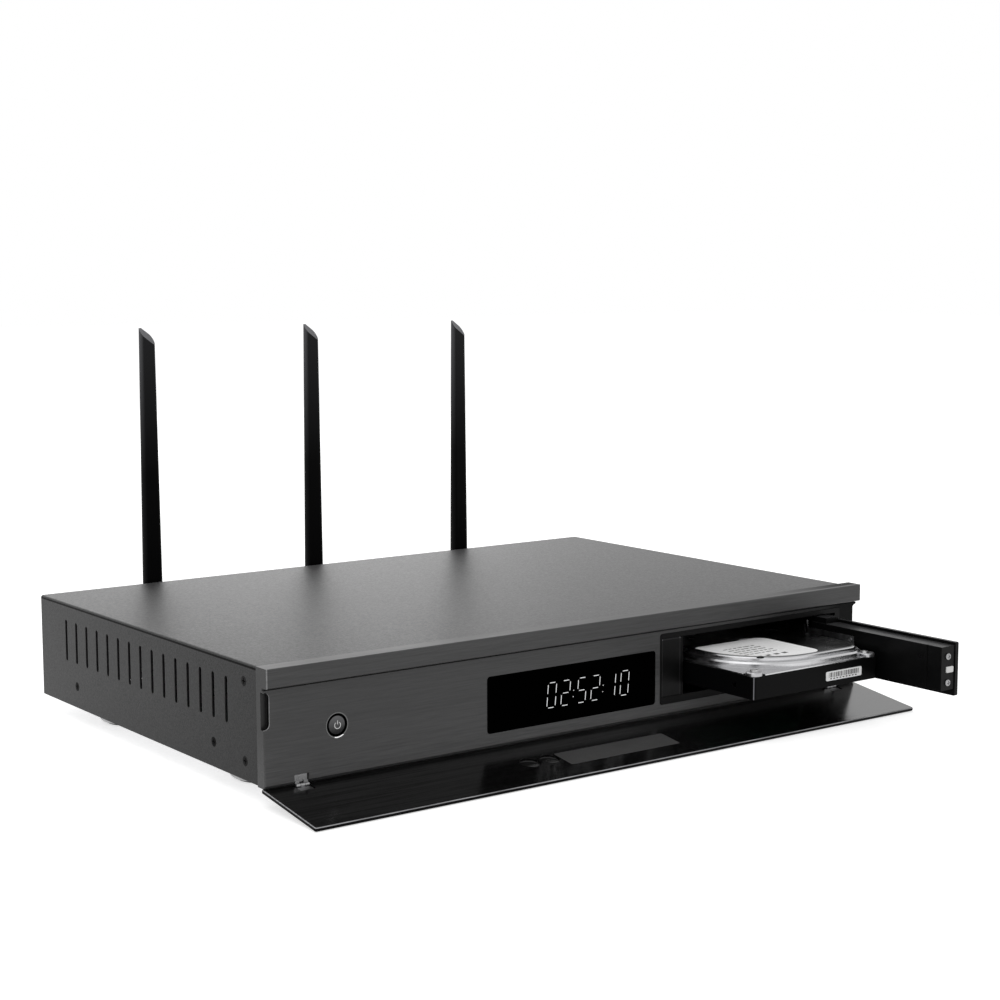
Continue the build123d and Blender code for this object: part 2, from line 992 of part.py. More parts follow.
def fixed_leaf():
    """The leaf on the panel: a plate above the knuckles, and the outer two knuckles."""
    room = hinge_knuckle_radius + hinge_slack
    back = hinge_y + room + hinge_leaf
    leaf = slab(
        around(hinge_x, hinge_width),
        (back - hinge_leaf, back),
        (hinge_z + room, hinge_z + hinge_leaf_height + hinge_drop),
    )
    for index in (0, 2):
        span = knuckle_spans()[index]
        web = slab(
            span,
            (hinge_y + hinge_knuckle_radius / 2, back),
            (hinge_z + hinge_knuckle_radius / 2, hinge_z + room + hinge_leaf),
        )
        leaf = leaf + knuckle(span) + (web - pin_bore(span))
    return leaf


def moving_leaf():
    """The leaf in the flap, with the middle knuckle."""
    room = hinge_knuckle_radius + hinge_slack
    floor = hinge_y - room
    plate = slab(
        around(hinge_x, hinge_width),
        (floor, floor + hinge_leaf),
        (hinge_z + room, hinge_z + hinge_leaf_reach),
    )
    span = knuckle_spans()[1]
    web = slab(
        span,
        (floor, hinge_y - hinge_knuckle_radius / 2),
        (hinge_z + hinge_knuckle_radius / 2, hinge_z + room + hinge_leaf),
    )
    return opened_flap(plate + knuckle(span) + (web - pin_bore(span)))


def hinge_pin():
    half = hinge_width / 2
    return rod_x(hinge_pin_radius, (hinge_x - half, hinge_x + half), hinge_y, hinge_z)


def both_sides(shape):
    return [shape, mirrored(shape)]


# Drive rack


def rack_bezel():
    """The moulded frame of the bay, with the lugs that hold the door's pin."""
    depth = grown((bezel_front, bezel_back), over)
    frame = rounded_y(
        bezel_width,
        bezel_height,
        bezel_corner,
        bezel_centre_x,
        (bezel_front, bezel_back),
        bezel_centre_z,
    )
    lug_x = grown((door_pin_x, door_pin_x), door_ear_radius)
    lug_y = (bezel_back - over, door_pin_y + door_ear_radius)
    lugs = []
    for z in ((bay_top, bezel_top), (bezel_bottom, bay_bottom)):
        lug = slab(lug_x, lug_y, z)
        back_edges = edges_along(lug, Axis.Z).group_by(Axis.Y)[-1]
        lugs.append(fillet(back_edges, door_ear_radius - fit_gap) - door_pin())
    bay = slab((bay_left, bay_right), depth, (bay_bottom, bay_top))
    key_cut = slab((key_left, key_right), depth, (key_bottom, key_bottom + key_height))
    return frame - bay - key_cut + key_ledge() + lugs


def key_rim(margin):
    """The hole through the rim behind the release key, larger by a margin all round."""
    return (
        grown((key_left + key_ledge_side, key_right - key_ledge_side), margin),
        grown((key_bottom + key_ledge_end, key_bottom + key_height - key_ledge_end), margin),
    )


def key_ledge():
    """The rim behind the release key that carries it and stops its travel."""
    front = bezel_front + key_thickness + key_travel + 3 * fit_gap
    outer = slab(
        (key_left, key_right),
        (front, bezel_back),
        (key_bottom, key_bottom + key_height),
    )
    x, z = key_rim(0)
    return outer - slab(x, (front - over, bezel_back + over), z)


def release_key():
    """The push key beside the bay, with a stem through the rim behind it."""
    plate_front = bezel_front + fit_gap
    plate = slab(
        grown((key_left, key_right), -key_side_gap),
        (plate_front, plate_front + key_thickness),
        grown((key_bottom, key_bottom + key_height), -key_side_gap),
    )
    plate = fillet(edges_along(plate, Axis.Y), key_corner)
    x, z = key_rim(-2 * fit_gap)
    stem = slab(x, (bezel_front + key_thickness, bezel_back - over), z)
    x, z = key_rim(-2 * fit_gap - key_stem_wall)
    hollow = slab(x, (bezel_front + key_thickness + over, bezel_back), z)
    return plate + (stem - hollow)


def opened_door(shape):
    """Turn a piece of the door from shut to open, about the door's pin."""
    turn = Rot(0, 0, door_open_angle)
    return Pos(door_pin_x, door_pin_y, 0) * turn * Pos(-door_pin_x, -door_pin_y, 0) * shape


def door_slab(reach, depth, z):
    """A block of the shut door, from its reach past the pin and depth behind the pin."""
    return slab(
        (door_pin_x - reach[1], door_pin_x - reach[0]),
        (door_pin_y + depth[0], door_pin_y + depth[1]),
        z,
    )


def door_plate():
    """The door's face, which fills the bay when it is shut."""
    plate = door_slab(
        (-door_heel, door_reach),
        (-door_face_offset, door_plate_back),
        (door_plate_bottom, door_plate_top),
    )
    plate = fillet(edges_along(plate, Axis.Y), door_plate_corner)
    return opened_door(plate)


def latch_opening(slack):
    """Depth and height of the latch's hole in the door's end."""
    return (
        grown(around(door_latch_back, door_latch_width), slack),
        grown(around(door_latch_z, door_latch_height), slack),
    )


def door_box():
    """The hollow inner box behind the door's face, with the two ears for the pin."""
    inner_face = door_box_inner - door_box_wall
    box = door_slab(
        (door_box_heel, door_box_reach),
        (door_plate_back, door_box_inner),
        (door_box_bottom, door_box_top),
    )
    hollow = door_slab(
        (door_box_heel + door_box_wall, door_box_reach - door_box_wall),
        (door_plate_back - over, inner_face),
        (door_box_bottom + door_box_wall, door_box_top - door_box_wall),
    )
    step = door_slab(
        (door_step_reach, door_step_reach + door_step_width),
        (door_box_inner - door_step_depth, door_box_inner + over),
        (door_box_bottom - over, door_box_top + over),
    )
    depth, height = latch_opening(fit_gap)
    slot = door_slab((door_box_reach - 2 * door_box_wall, door_box_reach + over), depth, height)
    guide_start = door_box_reach - door_latch_length
    guide = door_slab(
        (guide_start - over, door_box_reach - door_box_wall),
        (depth[0] - over, inner_face),
        grown(height, door_guide_wall),
    )
    channel = door_slab((guide_start - 2 * over, door_box_reach), depth, height)
    box = box - hollow - step + (guide - channel) - slot
    ear_top = bay_top - door_ear_top_gap
    ear_low = bay_bottom + door_ear_top_gap
    upper = door_ear((ear_top - door_ear_height, ear_top), door_box_top - door_box_wall)
    lower = door_ear((ear_low, ear_low + door_ear_height), door_box_bottom + door_box_wall)
    screw_holes = []
    for z in door_screw_z:
        x = door_pin_x - door_box_reach
        y = door_pin_y - door_screw_back
        screw_holes.append(rod_x(screw_shank_radius, (x - over, x + screw_length), y, z))
    return opened_door(box + upper + lower - screw_holes)


def door_ear(z, box_wall_z):
    """An arm from the pin to the box, rounded about the pin and joined to the box's wall."""
    reach = door_box_heel + door_ear_reach
    depth = (door_plate_back, door_ear_radius)
    arm = door_slab((0, reach), depth, z)
    eye = rod_z(door_ear_radius, door_pin_x, door_pin_y, z)
    neck_z = (min(z[0], box_wall_z), max(z[1], box_wall_z))
    neck = door_slab((door_box_heel, reach), depth, neck_z)
    bore = rod_z(door_pin_radius + door_pin_slack, door_pin_x, door_pin_y, grown(z, over))
    return arm + eye + neck - bore


def door_pin():
    return rod_z(door_pin_radius, door_pin_x, door_pin_y, (bezel_bottom + over, bezel_top - over))


def door_screw(z):
    """A cross-head screw in the door's end."""
    x = door_pin_x - door_box_reach
    y = door_pin_y - door_screw_back
    head = rod_x(door_screw_radius, (x - door_screw_height, x), y, z)
    head = fillet(head.edges().group_by(Axis.X)[0], door_screw_height / 2)
    cross = (x - door_screw_height - over, x - door_screw_height / 2)
    half_width = screw_cross_width / 2
    wide = slab(
        cross, grown((y, y), door_screw_cross), grown((z, z), half_width)
    )
    tall = slab(
        cross, grown((y, y), half_width), grown((z, z), door_screw_cross)
    )
    shank = rod_x(screw_shank_radius, (x, x + screw_length - over), y, z)
    return opened_door(head - wide - tall + shank)


def door_latch():
    """The white tongue in the door's end, on the slide that carries it."""
    depth, height = latch_opening(0)
    start = door_box_reach - door_latch_length + door_latch_travel
    tongue = door_slab((start, door_box_reach + door_latch_proud), depth, height)
    return opened_door(fillet(edges_along(tongue, Axis.X), door_latch_corner))


def door_strap():
    """The curved steel strap on the inside of the door, rolled round the pin."""
    centre = (door_pin_x, door_pin_y)
    inner = door_box_inner + fit_gap / 2
    outer = inner + strap_thickness
    z = (strap_bottom, strap_bottom + strap_height)
    flat = door_slab((door_box_heel, strap_reach), (inner, outer), z)
    flat = fillet(edges_along(flat, Axis.Y), strap_thickness)
    bore_radius = door_pin_radius + door_pin_slack
    eye_radius = bore_radius + strap_thickness
    eye = rod_z(eye_radius, *centre, z) - rod_z(bore_radius, *centre, z)
    curl = rod_z(outer, *centre, z) - rod_z(inner, *centre, z)
    quarter = door_slab((-outer, 0), (0, outer), z)
    arm = door_slab((0, door_box_heel + over), (inner, outer), z)
    foot = door_slab((-outer, -bore_radius - strap_thickness / 2), (-strap_thickness, 0), z)
    return opened_door(flat + arm + (curl & quarter) + foot + eye)


def door_rivet():
    reach = strap_reach - strap_height / 2
    z = strap_bottom + strap_height / 2
    y = door_pin_y + door_box_inner + strap_thickness + fit_gap / 2
    return opened_door(rod_y(rivet_radius, door_pin_x - reach, (y, y + rivet_height), z))


# Rack frame


def rack_cage():
    """A folded sheet tray with side walls, top lips and legs to the floor."""
    y = (cage_front, cage_back)
    floor_z = (cage_floor, cage_floor + cage_wall)
    lip_z = (cage_top - cage_wall, cage_top)
    cage = slab((cage_left, cage_right), y, floor_z)
    cage += slab((cage_left, cage_left + cage_wall), y, (cage_floor, cage_top))
    cage += slab((cage_right - cage_wall, cage_right), y, (cage_floor, cage_top))
    cage += slab((cage_left, cage_left + cage_lip), y, lip_z)
    cage += slab((cage_right - cage_lip, cage_right), y, lip_z)
    for x in (cage_left + cage_leg_inset, cage_right - cage_leg_inset):
        for place in cage_leg_places:
            leg_y = around(cage_front + place, cage_leg)
            cage += slab(around(x, cage_leg), leg_y, (pan_top, cage_floor))
    windows = []
    for index in range(cage_window_count):
        centre_y = cage_window_first + index * cage_window_pitch
        window_z = grown(floor_z, over)
        hole = rounded_z(*cage_window, cage_window_corner, drive_centre_x, centre_y, window_z)
        windows.append(hole)
    lug_room = slab(
        grown((door_pin_x, door_pin_x), door_ear_radius + over),
        (cage_front - over, door_pin_y + door_ear_radius + plug_gap),
        grown((cage_floor, cage_top), over),
    )
    return cage - windows - lug_room + guide_wall()


def guide_wall():
    """A sheet wall beside the drive that reaches forward between the door's ears."""
    low = drive_right + guide_gap
    foot = cage_floor + cage_wall / 2
    outline = [
        (guide_front, guide_bottom),
        (guide_front, guide_top),
        (guide_back, guide_top),
        (guide_back, foot),
        (guide_back - guide_leg, foot),
        (guide_back - guide_leg, guide_bottom),
    ]
    return prism_x(outline, (low, low + guide_thickness))


def drive_rail(side):
    """A moulded rail: a base, a ledge under the drive's edge and a side guide."""
    edge = drive_centre_x + side * (drive_width / 2 + rail_side_gap)
    wall = cage_right - cage_wall if side > 0 else cage_left + cage_wall
    base_z = cage_floor + cage_wall
    ledge_z = drive_bottom - rail_run_gap
    outline = [
        (wall, base_z),
        (edge - side * rail_ledge, base_z),
        (edge - side * rail_ledge, ledge_z),
        (edge, ledge_z),
        (edge, rail_wall_top),
        (edge + side * rail_wall, rail_wall_top),
        (edge + side * rail_wall, base_z + rail_base),
        (wall, base_z + rail_base),
    ]
    return prism_y(outline, (rail_front, rail_back))


def backplane():
    """The board at the back of the rack, on the cage's end."""
    y = (backplane_y, backplane_y + board_thickness)
    board = slab(
        (cage_left + cage_wall, cage_right - cage_wall),
        y,
        (cage_floor + cage_wall, cage_top - cage_margin),
    )
    vents = []
    for side in (-1, 0, 1):
        x = drive_centre_x + side * backplane_vent_pitch
        vent = rounded_y(
            *backplane_vent, backplane_vent_corner, x, grown(y, over), backplane_vent_z
        )
        vents.append(vent)
    return board - vents


def backplane_plug():
    """The plug that enters the drive's socket when the drive is home."""
    docked_rear = drive_front_docked + drive_length
    body = slab(
        grown((drive_centre_x, drive_centre_x), plug_half),
        (docked_rear + 2 * fit_gap, backplane_y),
        grown((plug_centre_z, plug_centre_z), plug_half_height),
    )
    tongue = slab(
        grown((drive_centre_x, drive_centre_x), drive_socket_width / 2 - plug_tongue_side),
        (docked_rear - plug_tongue_reach, docked_rear + over),
        grown((plug_centre_z, plug_centre_z), plug_tongue_half),
    )
    return body + tongue


def corner_block(size, z):
    """Four square blocks in the drive's corners."""
    blocks = []
    for side in (-1, 1):
        edge = drive_centre_x + side * drive_width / 2
        x = sorted((edge, edge - side * size))
        for y in ((drive_front, drive_front + size), (drive_rear - size, drive_rear)):
            blocks.append(slab(x, y, z))
    return blocks


# Hard drive


def drive_base():
    """The cast body: a deep plate with side rails, raised corner pads and screw bores."""
    body = slab((drive_left, drive_right), (drive_front, drive_rear), (drive_bottom, drive_body_top))
    body = fillet(edges_along(body, Axis.Z), drive_corner_round)
    for block in corner_block(drive_pad_size, (drive_body_top - over, drive_pad_top)):
        pad = fillet(edges_along(block, Axis.Z), drive_pad_round)
        body += chamfer(pad.edges().group_by(Axis.Z)[-1], drive_pad_chamfer)
    under = slab(
        grown((drive_left, drive_right), -drive_rail_depth),
        (drive_front + drive_under_front, drive_rear + over),
        (drive_bottom - over, drive_bottom + drive_under),
    )
    socket_top = drive_bottom + drive_board_thickness + drive_socket_height
    socket_room = slab(
        around(drive_centre_x, drive_socket_width),
        (drive_rear - drive_socket_depth, drive_rear + over),
        (drive_bottom - over, socket_top + over),
    )
    plug_room = slab(
        grown((drive_centre_x, drive_centre_x), plug_half + over),
        grown((drive_rear, drive_rear), over),
        grown((plug_centre_z, plug_centre_z), plug_half_height + over),
    )
    bores = []
    for side in (-1, 1):
        face = drive_centre_x + side * drive_width / 2
        span = sorted((face - side * drive_bore_depth, face + side * over))
        for place in drive_bore_from_front:
            z = drive_bottom + drive_bore_height
            bores.append(rod_x(drive_bore_radius, span, drive_front + place, z))
    return body - under - socket_room - plug_room - bores - disc_room(
        drive_room_radius, (drive_bottom + drive_room_floor, drive_body_top + over)
    )


def disc_room(radius, z):
    """Room for the discs: a cylinder drawn back to the drive's tail."""
    centre_y = drive_front + drive_hub_from_front
    tail_y = drive_rear - drive_room_tail
    tail = slab(grown((drive_centre_x, drive_centre_x), radius), (centre_y, tail_y), z)
    return rod_z(radius, drive_centre_x, centre_y, z) + tail


def lid_plan(inset, rounds):
    """Plan of the lid: a wide arc over the discs at the front left, a tighter one right."""
    x = grown((drive_left, drive_right), -inset)
    y = grown((drive_front, drive_rear), -inset)
    plan = make_face(Polyline((x[0], y[0]), (x[1], y[0]), (x[1], y[1]), (x[0], y[1]), close=True))
    for corner_x, radius in zip(x, rounds):
        corner = plan.vertices().sort_by_distance((corner_x, y[0], 0))[0]
        plan = fillet(corner, radius)
    return plan


def lid_level(inset, rounds, z):
    """One level of the lid with its top edge bevelled."""
    level = extrude(Plane.XY.offset(z[0]) * lid_plan(inset, rounds), amount=z[1] - z[0])
    return chamfer(level.edges().group_by(Axis.Z)[-1], drive_lid_bevel)


def drive_lid():
    """The pressed lid: a thin flange over the body, a skirt and a flat crown."""
    step_z = drive_bottom + drive_skirt_height
    lid = slab(
        grown((drive_left, drive_right), -drive_flange_inset),
        grown((drive_front, drive_rear), -drive_flange_inset),
        (drive_body_top, drive_body_top + drive_flange),
    )
    lid += lid_level(drive_skirt_inset, drive_skirt_rounds, (drive_body_top, step_z))
    lid += lid_level(drive_crown_inset, drive_crown_rounds, (step_z - over, drive_top))
    hub_y = drive_front + drive_hub_from_front
    groove_z = (drive_top - drive_hub_depth, drive_top + over)
    outer, inner = drive_hub_radii
    groove = rod_z(outer, drive_centre_x, hub_y, groove_z)
    groove = groove - rod_z(inner, drive_centre_x, hub_y, grown(groove_z, over))
    hollow_radius = drive_room_radius - drive_lid_sheet
    hollow = disc_room(hollow_radius, (drive_body_top - over, drive_top - drive_lid_sheet - over))
    pad_room = corner_block(drive_pad_size + drive_lid_gap, (drive_body_top - over, drive_top))
    return lid - groove - hollow - pad_room


def drive_board():
    """The drive's circuit board, under the casting."""
    low = drive_bottom + drive_board_gap
    board = slab(
        grown((drive_left, drive_right), -drive_rail_depth - plug_gap),
        (drive_front + drive_board_from_front, drive_rear - drive_socket_depth - over),
        (low, low + drive_board_thickness),
    )
    return fillet(edges_along(board, Axis.Z), drive_board_corner)


def drive_socket():
    """The socket in the drive's tail that the rack's plug enters."""
    width = drive_socket_width - 2 * fit_gap
    front = drive_rear - drive_socket_depth
    low = drive_bottom + drive_board_thickness
    body = slab(
        around(drive_centre_x, width),
        (front + fit_gap, drive_rear - over),
        (low, low + drive_socket_height),
    )
    mouth = slab(
        around(drive_centre_x, width - 2 * drive_socket_end),
        (front + drive_socket_wall, drive_rear + over),
        grown((plug_centre_z, plug_centre_z), plug_tongue_half + plug_gap),
    )
    return body - mouth


def drive_label():
    """A blank sticker on the lid."""
    x = drive_centre_x - drive_label_left
    y = drive_front + drive_label_back + drive_label_length / 2
    outline = Pos(x, y) * RectangleRounded(drive_label_width, drive_label_length, drive_label_corner)
    edge = drive_crown_inset + drive_lid_bevel + drive_lid_gap
    inside = outline & lid_plan(edge, drive_crown_rounds)
    return extrude(Plane.XY.offset(drive_top) * inside, amount=label_thickness)


def drive_end_label_plate():
    """A small sticker on the drive's front end."""
    return rounded_y(
        *drive_end_label,
        drive_end_label_corner,
        drive_centre_x + drive_end_label_right,
        (drive_front - label_thickness, drive_front),
        drive_bottom + drive_end_label_up,
    )


def drive_screws():
    """Small screws that hold the lid down on the casting's corner pads."""
    group = []
    z = (drive_pad_top, drive_pad_top + drive_screw_height)
    for side in (-1, 1):
        for y in (drive_front + drive_screw_inset, drive_rear - drive_screw_inset):
            x = drive_centre_x + side * (drive_width / 2 - drive_screw_inset)
            head = rod_z(drive_screw_radius, x, y, z)
            socket = rod_z(drive_screw_socket, x, y, (drive_pad_top + drive_screw_height / 2, z[1]))
            group.append(head - socket)
    return group


# Inside


def main_board():
    return slab(main_board_x, main_board_y, (board_low, board_z))


def board_fixings():
    """A standoff under each corner of both boards and a screw head above it."""
    group = []
    for x_pair, y_pair in ((main_board_x, main_board_y), (power_board_x, power_board_y)):
        for x in grown(x_pair, -board_inset):
            for y in grown(y_pair, -board_inset):
                group.append(rod_z(standoff_radius, x, y, (pan_top, board_low)))
                group.append(rod_z(screw_head_radius, x, y, (board_z, board_z + screw_head_height)))
    return group


def heat_sink():
    """A finned block on the main chip."""
    left = main_board_left + sink_from_board[0]
    front = main_board_y[0] + sink_from_board[1]
    y = (front, front + sink_size[1])
    base_z = board_z + chip_height
    sink = slab((left, left + sink_size[0]), y, (base_z, base_z + sink_base))
    pitch = (sink_size[0] - sink_fin) / (sink_fins - 1)
    for index in range(sink_fins):
        fin_x = left + index * pitch
        sink += slab((fin_x, fin_x + sink_fin), y, (base_z, base_z + sink_height))
    return sink


def main_chip():
    left = main_board_left + chip_from_board[0]
    front = main_board_y[0] + chip_from_board[1]
    return slab((left, left + chip_size), (front, front + chip_size), (board_z, board_z + chip_height))


def power_board():
    return slab(power_board_x, power_board_y, (board_low, board_z))


def transformer():
    """A switching transformer: a wound bobbin inside its ferrite core."""
    x = power_board_left + transformer_from_board[0]
    y = power_board_y[0] + transformer_from_board[1]
    width, depth, height = transformer_core
    core = slab(around(x, width), around(y, depth), (board_z, board_z + height))
    winding_z = grown((board_z, board_z + height), -transformer_lift)
    winding = slab(around(x, transformer_winding), around(y, transformer_winding), winding_z)
    return core + fillet(edges_along(winding, Axis.Z), transformer_round)


def capacitors():
    """Round electrolytic cans on the power board."""
    group = []
    for from_left, from_front, radius, height in capacitor_places:
        x = power_board_left + from_left
        y = power_board_y[0] + from_front
        can = rod_z(radius, x, y, (board_z, board_z + height))
        group.append(chamfer(can.edges().group_by(Axis.Z)[-1], capacitor_chamfer))
    return group


# Rear


def rear_panel():
    """Flat sheet with the connector cut-outs, lapped inside the pan and the cover."""
    half = half_case - sheet - fit_gap
    plate = slab(
        (-half, half), (rear_inner, rear_outer), (pan_top + fit_gap, case_top - sheet - fit_gap)
    )
    plate = fillet(edges_along(plate, Axis.Y).group_by(Axis.Z)[-1], cover_bend)
    cut_y = grown((rear_inner, rear_outer), over)
    cutters = [
        rounded_y(inlet_width, inlet_height, inlet_wall, inlet_x, cut_y, inlet_z),
        rounded_y(rocker_width, rocker_height, rocker_wall, rocker_x, cut_y, rocker_z),
    ]
    ports = [(network_x, network_width, network_height), (optical_x, optical_size, optical_size)]
    ports += [(x, usb_width, usb_height) for x in usb_x]
    ports += [(x, hdmi_width, hdmi_height) for x in hdmi_x]
    for x, width, height in ports:
        cutters.append(slab(around(x, width), cut_y, (socket_z - fit_gap, socket_z + height)))
    for x in audio_x:
        cutters.append(rod_y(audio_radius + fit_gap, x, cut_y, audio_z))
    for x in aerial_x:
        cutters.append(rod_y(jack_radius, x, cut_y, aerial_z))
    return plate - cutters


def port(width, height, x, wall):
    """A sheet-metal socket shell with an open mouth at the back of the case."""
    front = rear_outer - socket_depth
    outer_x = around(x, width - 2 * fit_gap)
    outer_z = (socket_z, socket_z + height - fit_gap)
    outer = slab(outer_x, (front, rear_outer), outer_z)
    mouth = slab(grown(outer_x, -wall), (front + socket_floor, rear_outer + over), grown(outer_z, -wall))
    return outer - mouth


def data_sockets():
    """The two USB sockets, the two video sockets and the network socket."""
    sockets = [port(usb_width, usb_height, x, socket_thin_wall) for x in usb_x]
    sockets += [port(hdmi_width, hdmi_height, x, socket_thin_wall) for x in hdmi_x]
    return sockets + [port(network_width, network_height, network_x, socket_wall)]


def optical_socket():
    """A square socket closed by its spring shutter."""
    body = slab(
        around(optical_x, optical_size - 2 * fit_gap),
        (rear_outer - optical_depth, rear_outer),
        (socket_z, socket_z + optical_size - fit_gap),
    )
    recess = slab(
        around(optical_x, optical_shutter),
        (rear_outer - optical_shutter_sink, rear_outer + over),
        around(socket_z + optical_size / 2, optical_shutter),
    )
    return body - recess


def audio_jack(x):
    """A round jack: a stepped barrel with its centre hole."""
    end = rear_outer + audio_length
    base = slab(
        grown((x, x), audio_base_half),
        (rear_inner - audio_base_depth, rear_inner),
        (socket_z, audio_z + audio_base_half),
    )
    barrel = rod_y(audio_radius, x, (rear_inner - over, end), audio_z)
    bore = rod_y(audio_bore, x, (rear_outer, end + over), audio_z)
    return base + barrel - bore


def mains_inlet():
    """The socket for a detachable mains lead, with its flange."""
    front = rear_outer - inlet_depth
    flange = rounded_y(
        inlet_width + 2 * inlet_flange,
        inlet_height + 2 * inlet_flange,
        inlet_flange,
        inlet_x,
        (rear_outer, rear_outer + inlet_flange_thickness),
        inlet_z,
    )
    body = rounded_y(
        inlet_width - 2 * fit_gap,
        inlet_height - 2 * fit_gap,
        inlet_wall,
        inlet_x,
        (front, rear_outer + over),
        inlet_z,
    )
    cavity = rounded_y(
        inlet_width - 2 * inlet_wall,
        inlet_height - 2 * inlet_wall,
        inlet_round,
        inlet_x,
        (front + inlet_wall, rear_outer + inlet_flange_thickness + over),
        inlet_z,
    )
    return flange + body - cavity


def inlet_blades():
    """The three flat contacts inside the inlet."""
    back = rear_outer - inlet_depth + inlet_wall
    width, length, height = inlet_blade
    group = []
    for dx, dz in inlet_blade_places:
        y = (back, back + length)
        group.append(slab(around(inlet_x + dx, width), y, around(inlet_z + dz, height)))
    return group


def rocker_axle(radius, end_gap):
    """The rocker's pivot along X, or the holes for it in the frame's walls."""
    half = rocker_width / 2 - rocker_axle_end + end_gap
    return rod_x(radius, grown((rocker_x, rocker_x), half), rocker_pivot_y, rocker_z)


def rocker_frame():
    """The switch housing that the rocker turns in."""
    flange = rounded_y(
        rocker_width + 2 * rocker_flange,
        rocker_height + 2 * rocker_flange,
        rocker_flange,
        rocker_x,
        (rear_outer, rear_outer + rocker_flange_thickness),
        rocker_z,
    )
    body = rounded_y(
        rocker_width - 2 * fit_gap,
        rocker_height - 2 * fit_gap,
        rocker_wall,
        rocker_x,
        (rear_outer - rocker_depth, rear_outer + over),
        rocker_z,
    )
    well = slab(
        around(rocker_x, rocker_width - 2 * rocker_wall),
        (rear_outer - rocker_well, rear_outer + rocker_flange_thickness + over),
        around(rocker_z, rocker_height - 2 * rocker_wall),
    )
    holes = rocker_axle(rocker_axle_radius + rocker_axle_slack, fit_gap)
    return flange + body - well - holes


def rocker():
    """The two-way key on its axle: concave back, turned to its off side."""
    half_z = rocker_height / 2 - rocker_wall - rocker_end_gap
    half_x = rocker_width / 2 - rocker_wall - rocker_side_gap
    tip = rocker_pivot_in + rocker_tip
    dip = rocker_pivot_in + rocker_dip
    profile = [
        (-rocker_back, -half_z / 2),
        (-rocker_back, half_z / 2),
        (over, half_z),
        (tip, half_z),
        (dip, 0.0),
        (tip, -half_z),
        (over, -half_z),
    ]
    level = prism_x(profile, (-half_x, half_x))
    turned = Pos(rocker_x, rocker_pivot_y, rocker_z) * Rot(-rocker_angle, 0, 0) * level
    return turned + rocker_axle(rocker_axle_radius, 0)


# Aerials


def aerial_jack(x):
    """The threaded jack on the rear panel, with its nut."""
    nut_back = rear_outer + jack_nut_height
    barrel = rod_y(jack_radius, x, (rear_inner - jack_inside, rear_outer + jack_length), aerial_z)
    nut_outline = Plane.XZ.offset(-nut_back) * Pos(x, aerial_z)
    nut = extrude(nut_outline * RegularPolygon(jack_nut_size / 2, 6), amount=jack_nut_height)
    flange = rod_y(jack_nut_size / 2, x, (rear_inner - jack_nut_height, rear_inner), aerial_z)
    return barrel + nut + flange


def aerial_base(x):
    """The ribbed collar that screws on the jack, ending in a fork."""
    start = rear_outer + jack_nut_height + aerial_collar_gap
    end = start + aerial_collar_length
    collar = rod_y(aerial_collar_radius, x, (start, end), aerial_z)
    collar = chamfer(collar.edges().group_by(Axis.Y)[0], aerial_collar_chamfer)
    bore_end = rear_outer + jack_length + aerial_collar_chamfer
    bore = rod_y(jack_radius + aerial_slack, x, (start - over, bore_end), aerial_z)
    ribs = []
    rib_y = (start + aerial_rib_ends[0], end - aerial_rib_ends[1])
    rib_circle = aerial_collar_radius + aerial_rib_out
    for index in range(aerial_rib_count):
        angle = radians(index * 360 / aerial_rib_count)
        groove_x = x + cos(angle) * rib_circle
        groove_z = aerial_z + sin(angle) * rib_circle
        ribs.append(rod_y(aerial_rib_radius, groove_x, rib_y, groove_z))
    fork = []
    inner = aerial_tongue_width / 2 + aerial_tongue_slack
    ear_z = grown((aerial_z, aerial_z), aerial_ear_radius)
    for side in (-1, 1):
        span = sorted((x + side * inner, x + side * (inner + aerial_ear_width)))
        ear = rod_x(aerial_ear_radius, span, aerial_pivot_y, aerial_z)
        fork.append(ear + slab(span, (end - over, aerial_pivot_y), ear_z))
    pin_span = grown((x, x), aerial_collar_radius * 2)
    pin_hole = rod_x(aerial_pin_radius, pin_span, aerial_pivot_y, aerial_z)
    return collar - bore - ribs + fork - pin_hole


def aerial_pin(x):
    half = aerial_tongue_width / 2 + aerial_tongue_slack + aerial_ear_width
    return rod_x(aerial_pin_radius, (x - half, x + half), aerial_pivot_y, aerial_z)


def aerial_blade(x):
    """The flat tapered blade with a slanted tip and a rounded tongue at its foot."""
    foot_z = aerial_z + aerial_shoulder
    tip_z = aerial_z + aerial_length
    foot = RectangleRounded(aerial_base_width, aerial_base_depth, aerial_base_round)
    tip = RectangleRounded(aerial_tip_width, aerial_tip_depth, aerial_tip_round)
    centre = (x, aerial_pivot_y)
    stem = loft([Pos(*centre, foot_z) * foot, Pos(*centre, tip_z) * tip], ruled=True)
    left_back, left_front, right_front = aerial_cut_drops
    corner = Vector(x - aerial_tip_width / 2, aerial_pivot_y - aerial_tip_depth / 2, tip_z - left_front)
    back = Vector(0, aerial_tip_depth, left_front - left_back)
    along = Vector(aerial_tip_width, 0, left_front - right_front)
    waste = Plane(origin=corner, x_dir=along, z_dir=along.cross(back))
    block = 4 * aerial_base_width
    waste = waste * Pos(0, 0, block / 2) * Box(block, block, block)
    half = aerial_tongue_width / 2
    tongue = rod_x(aerial_ear_radius, (x - half, x + half), aerial_pivot_y, aerial_z)
    neck = slab(
        (x - half, x + half),
        around(aerial_pivot_y, aerial_base_depth),
        (aerial_z, foot_z + over),
    )
    bore_span = grown((x, x), aerial_base_width)
    bore = rod_x(aerial_pin_radius + aerial_slack, bore_span, aerial_pivot_y, aerial_z)
    return stem - waste + tongue + neck - bore


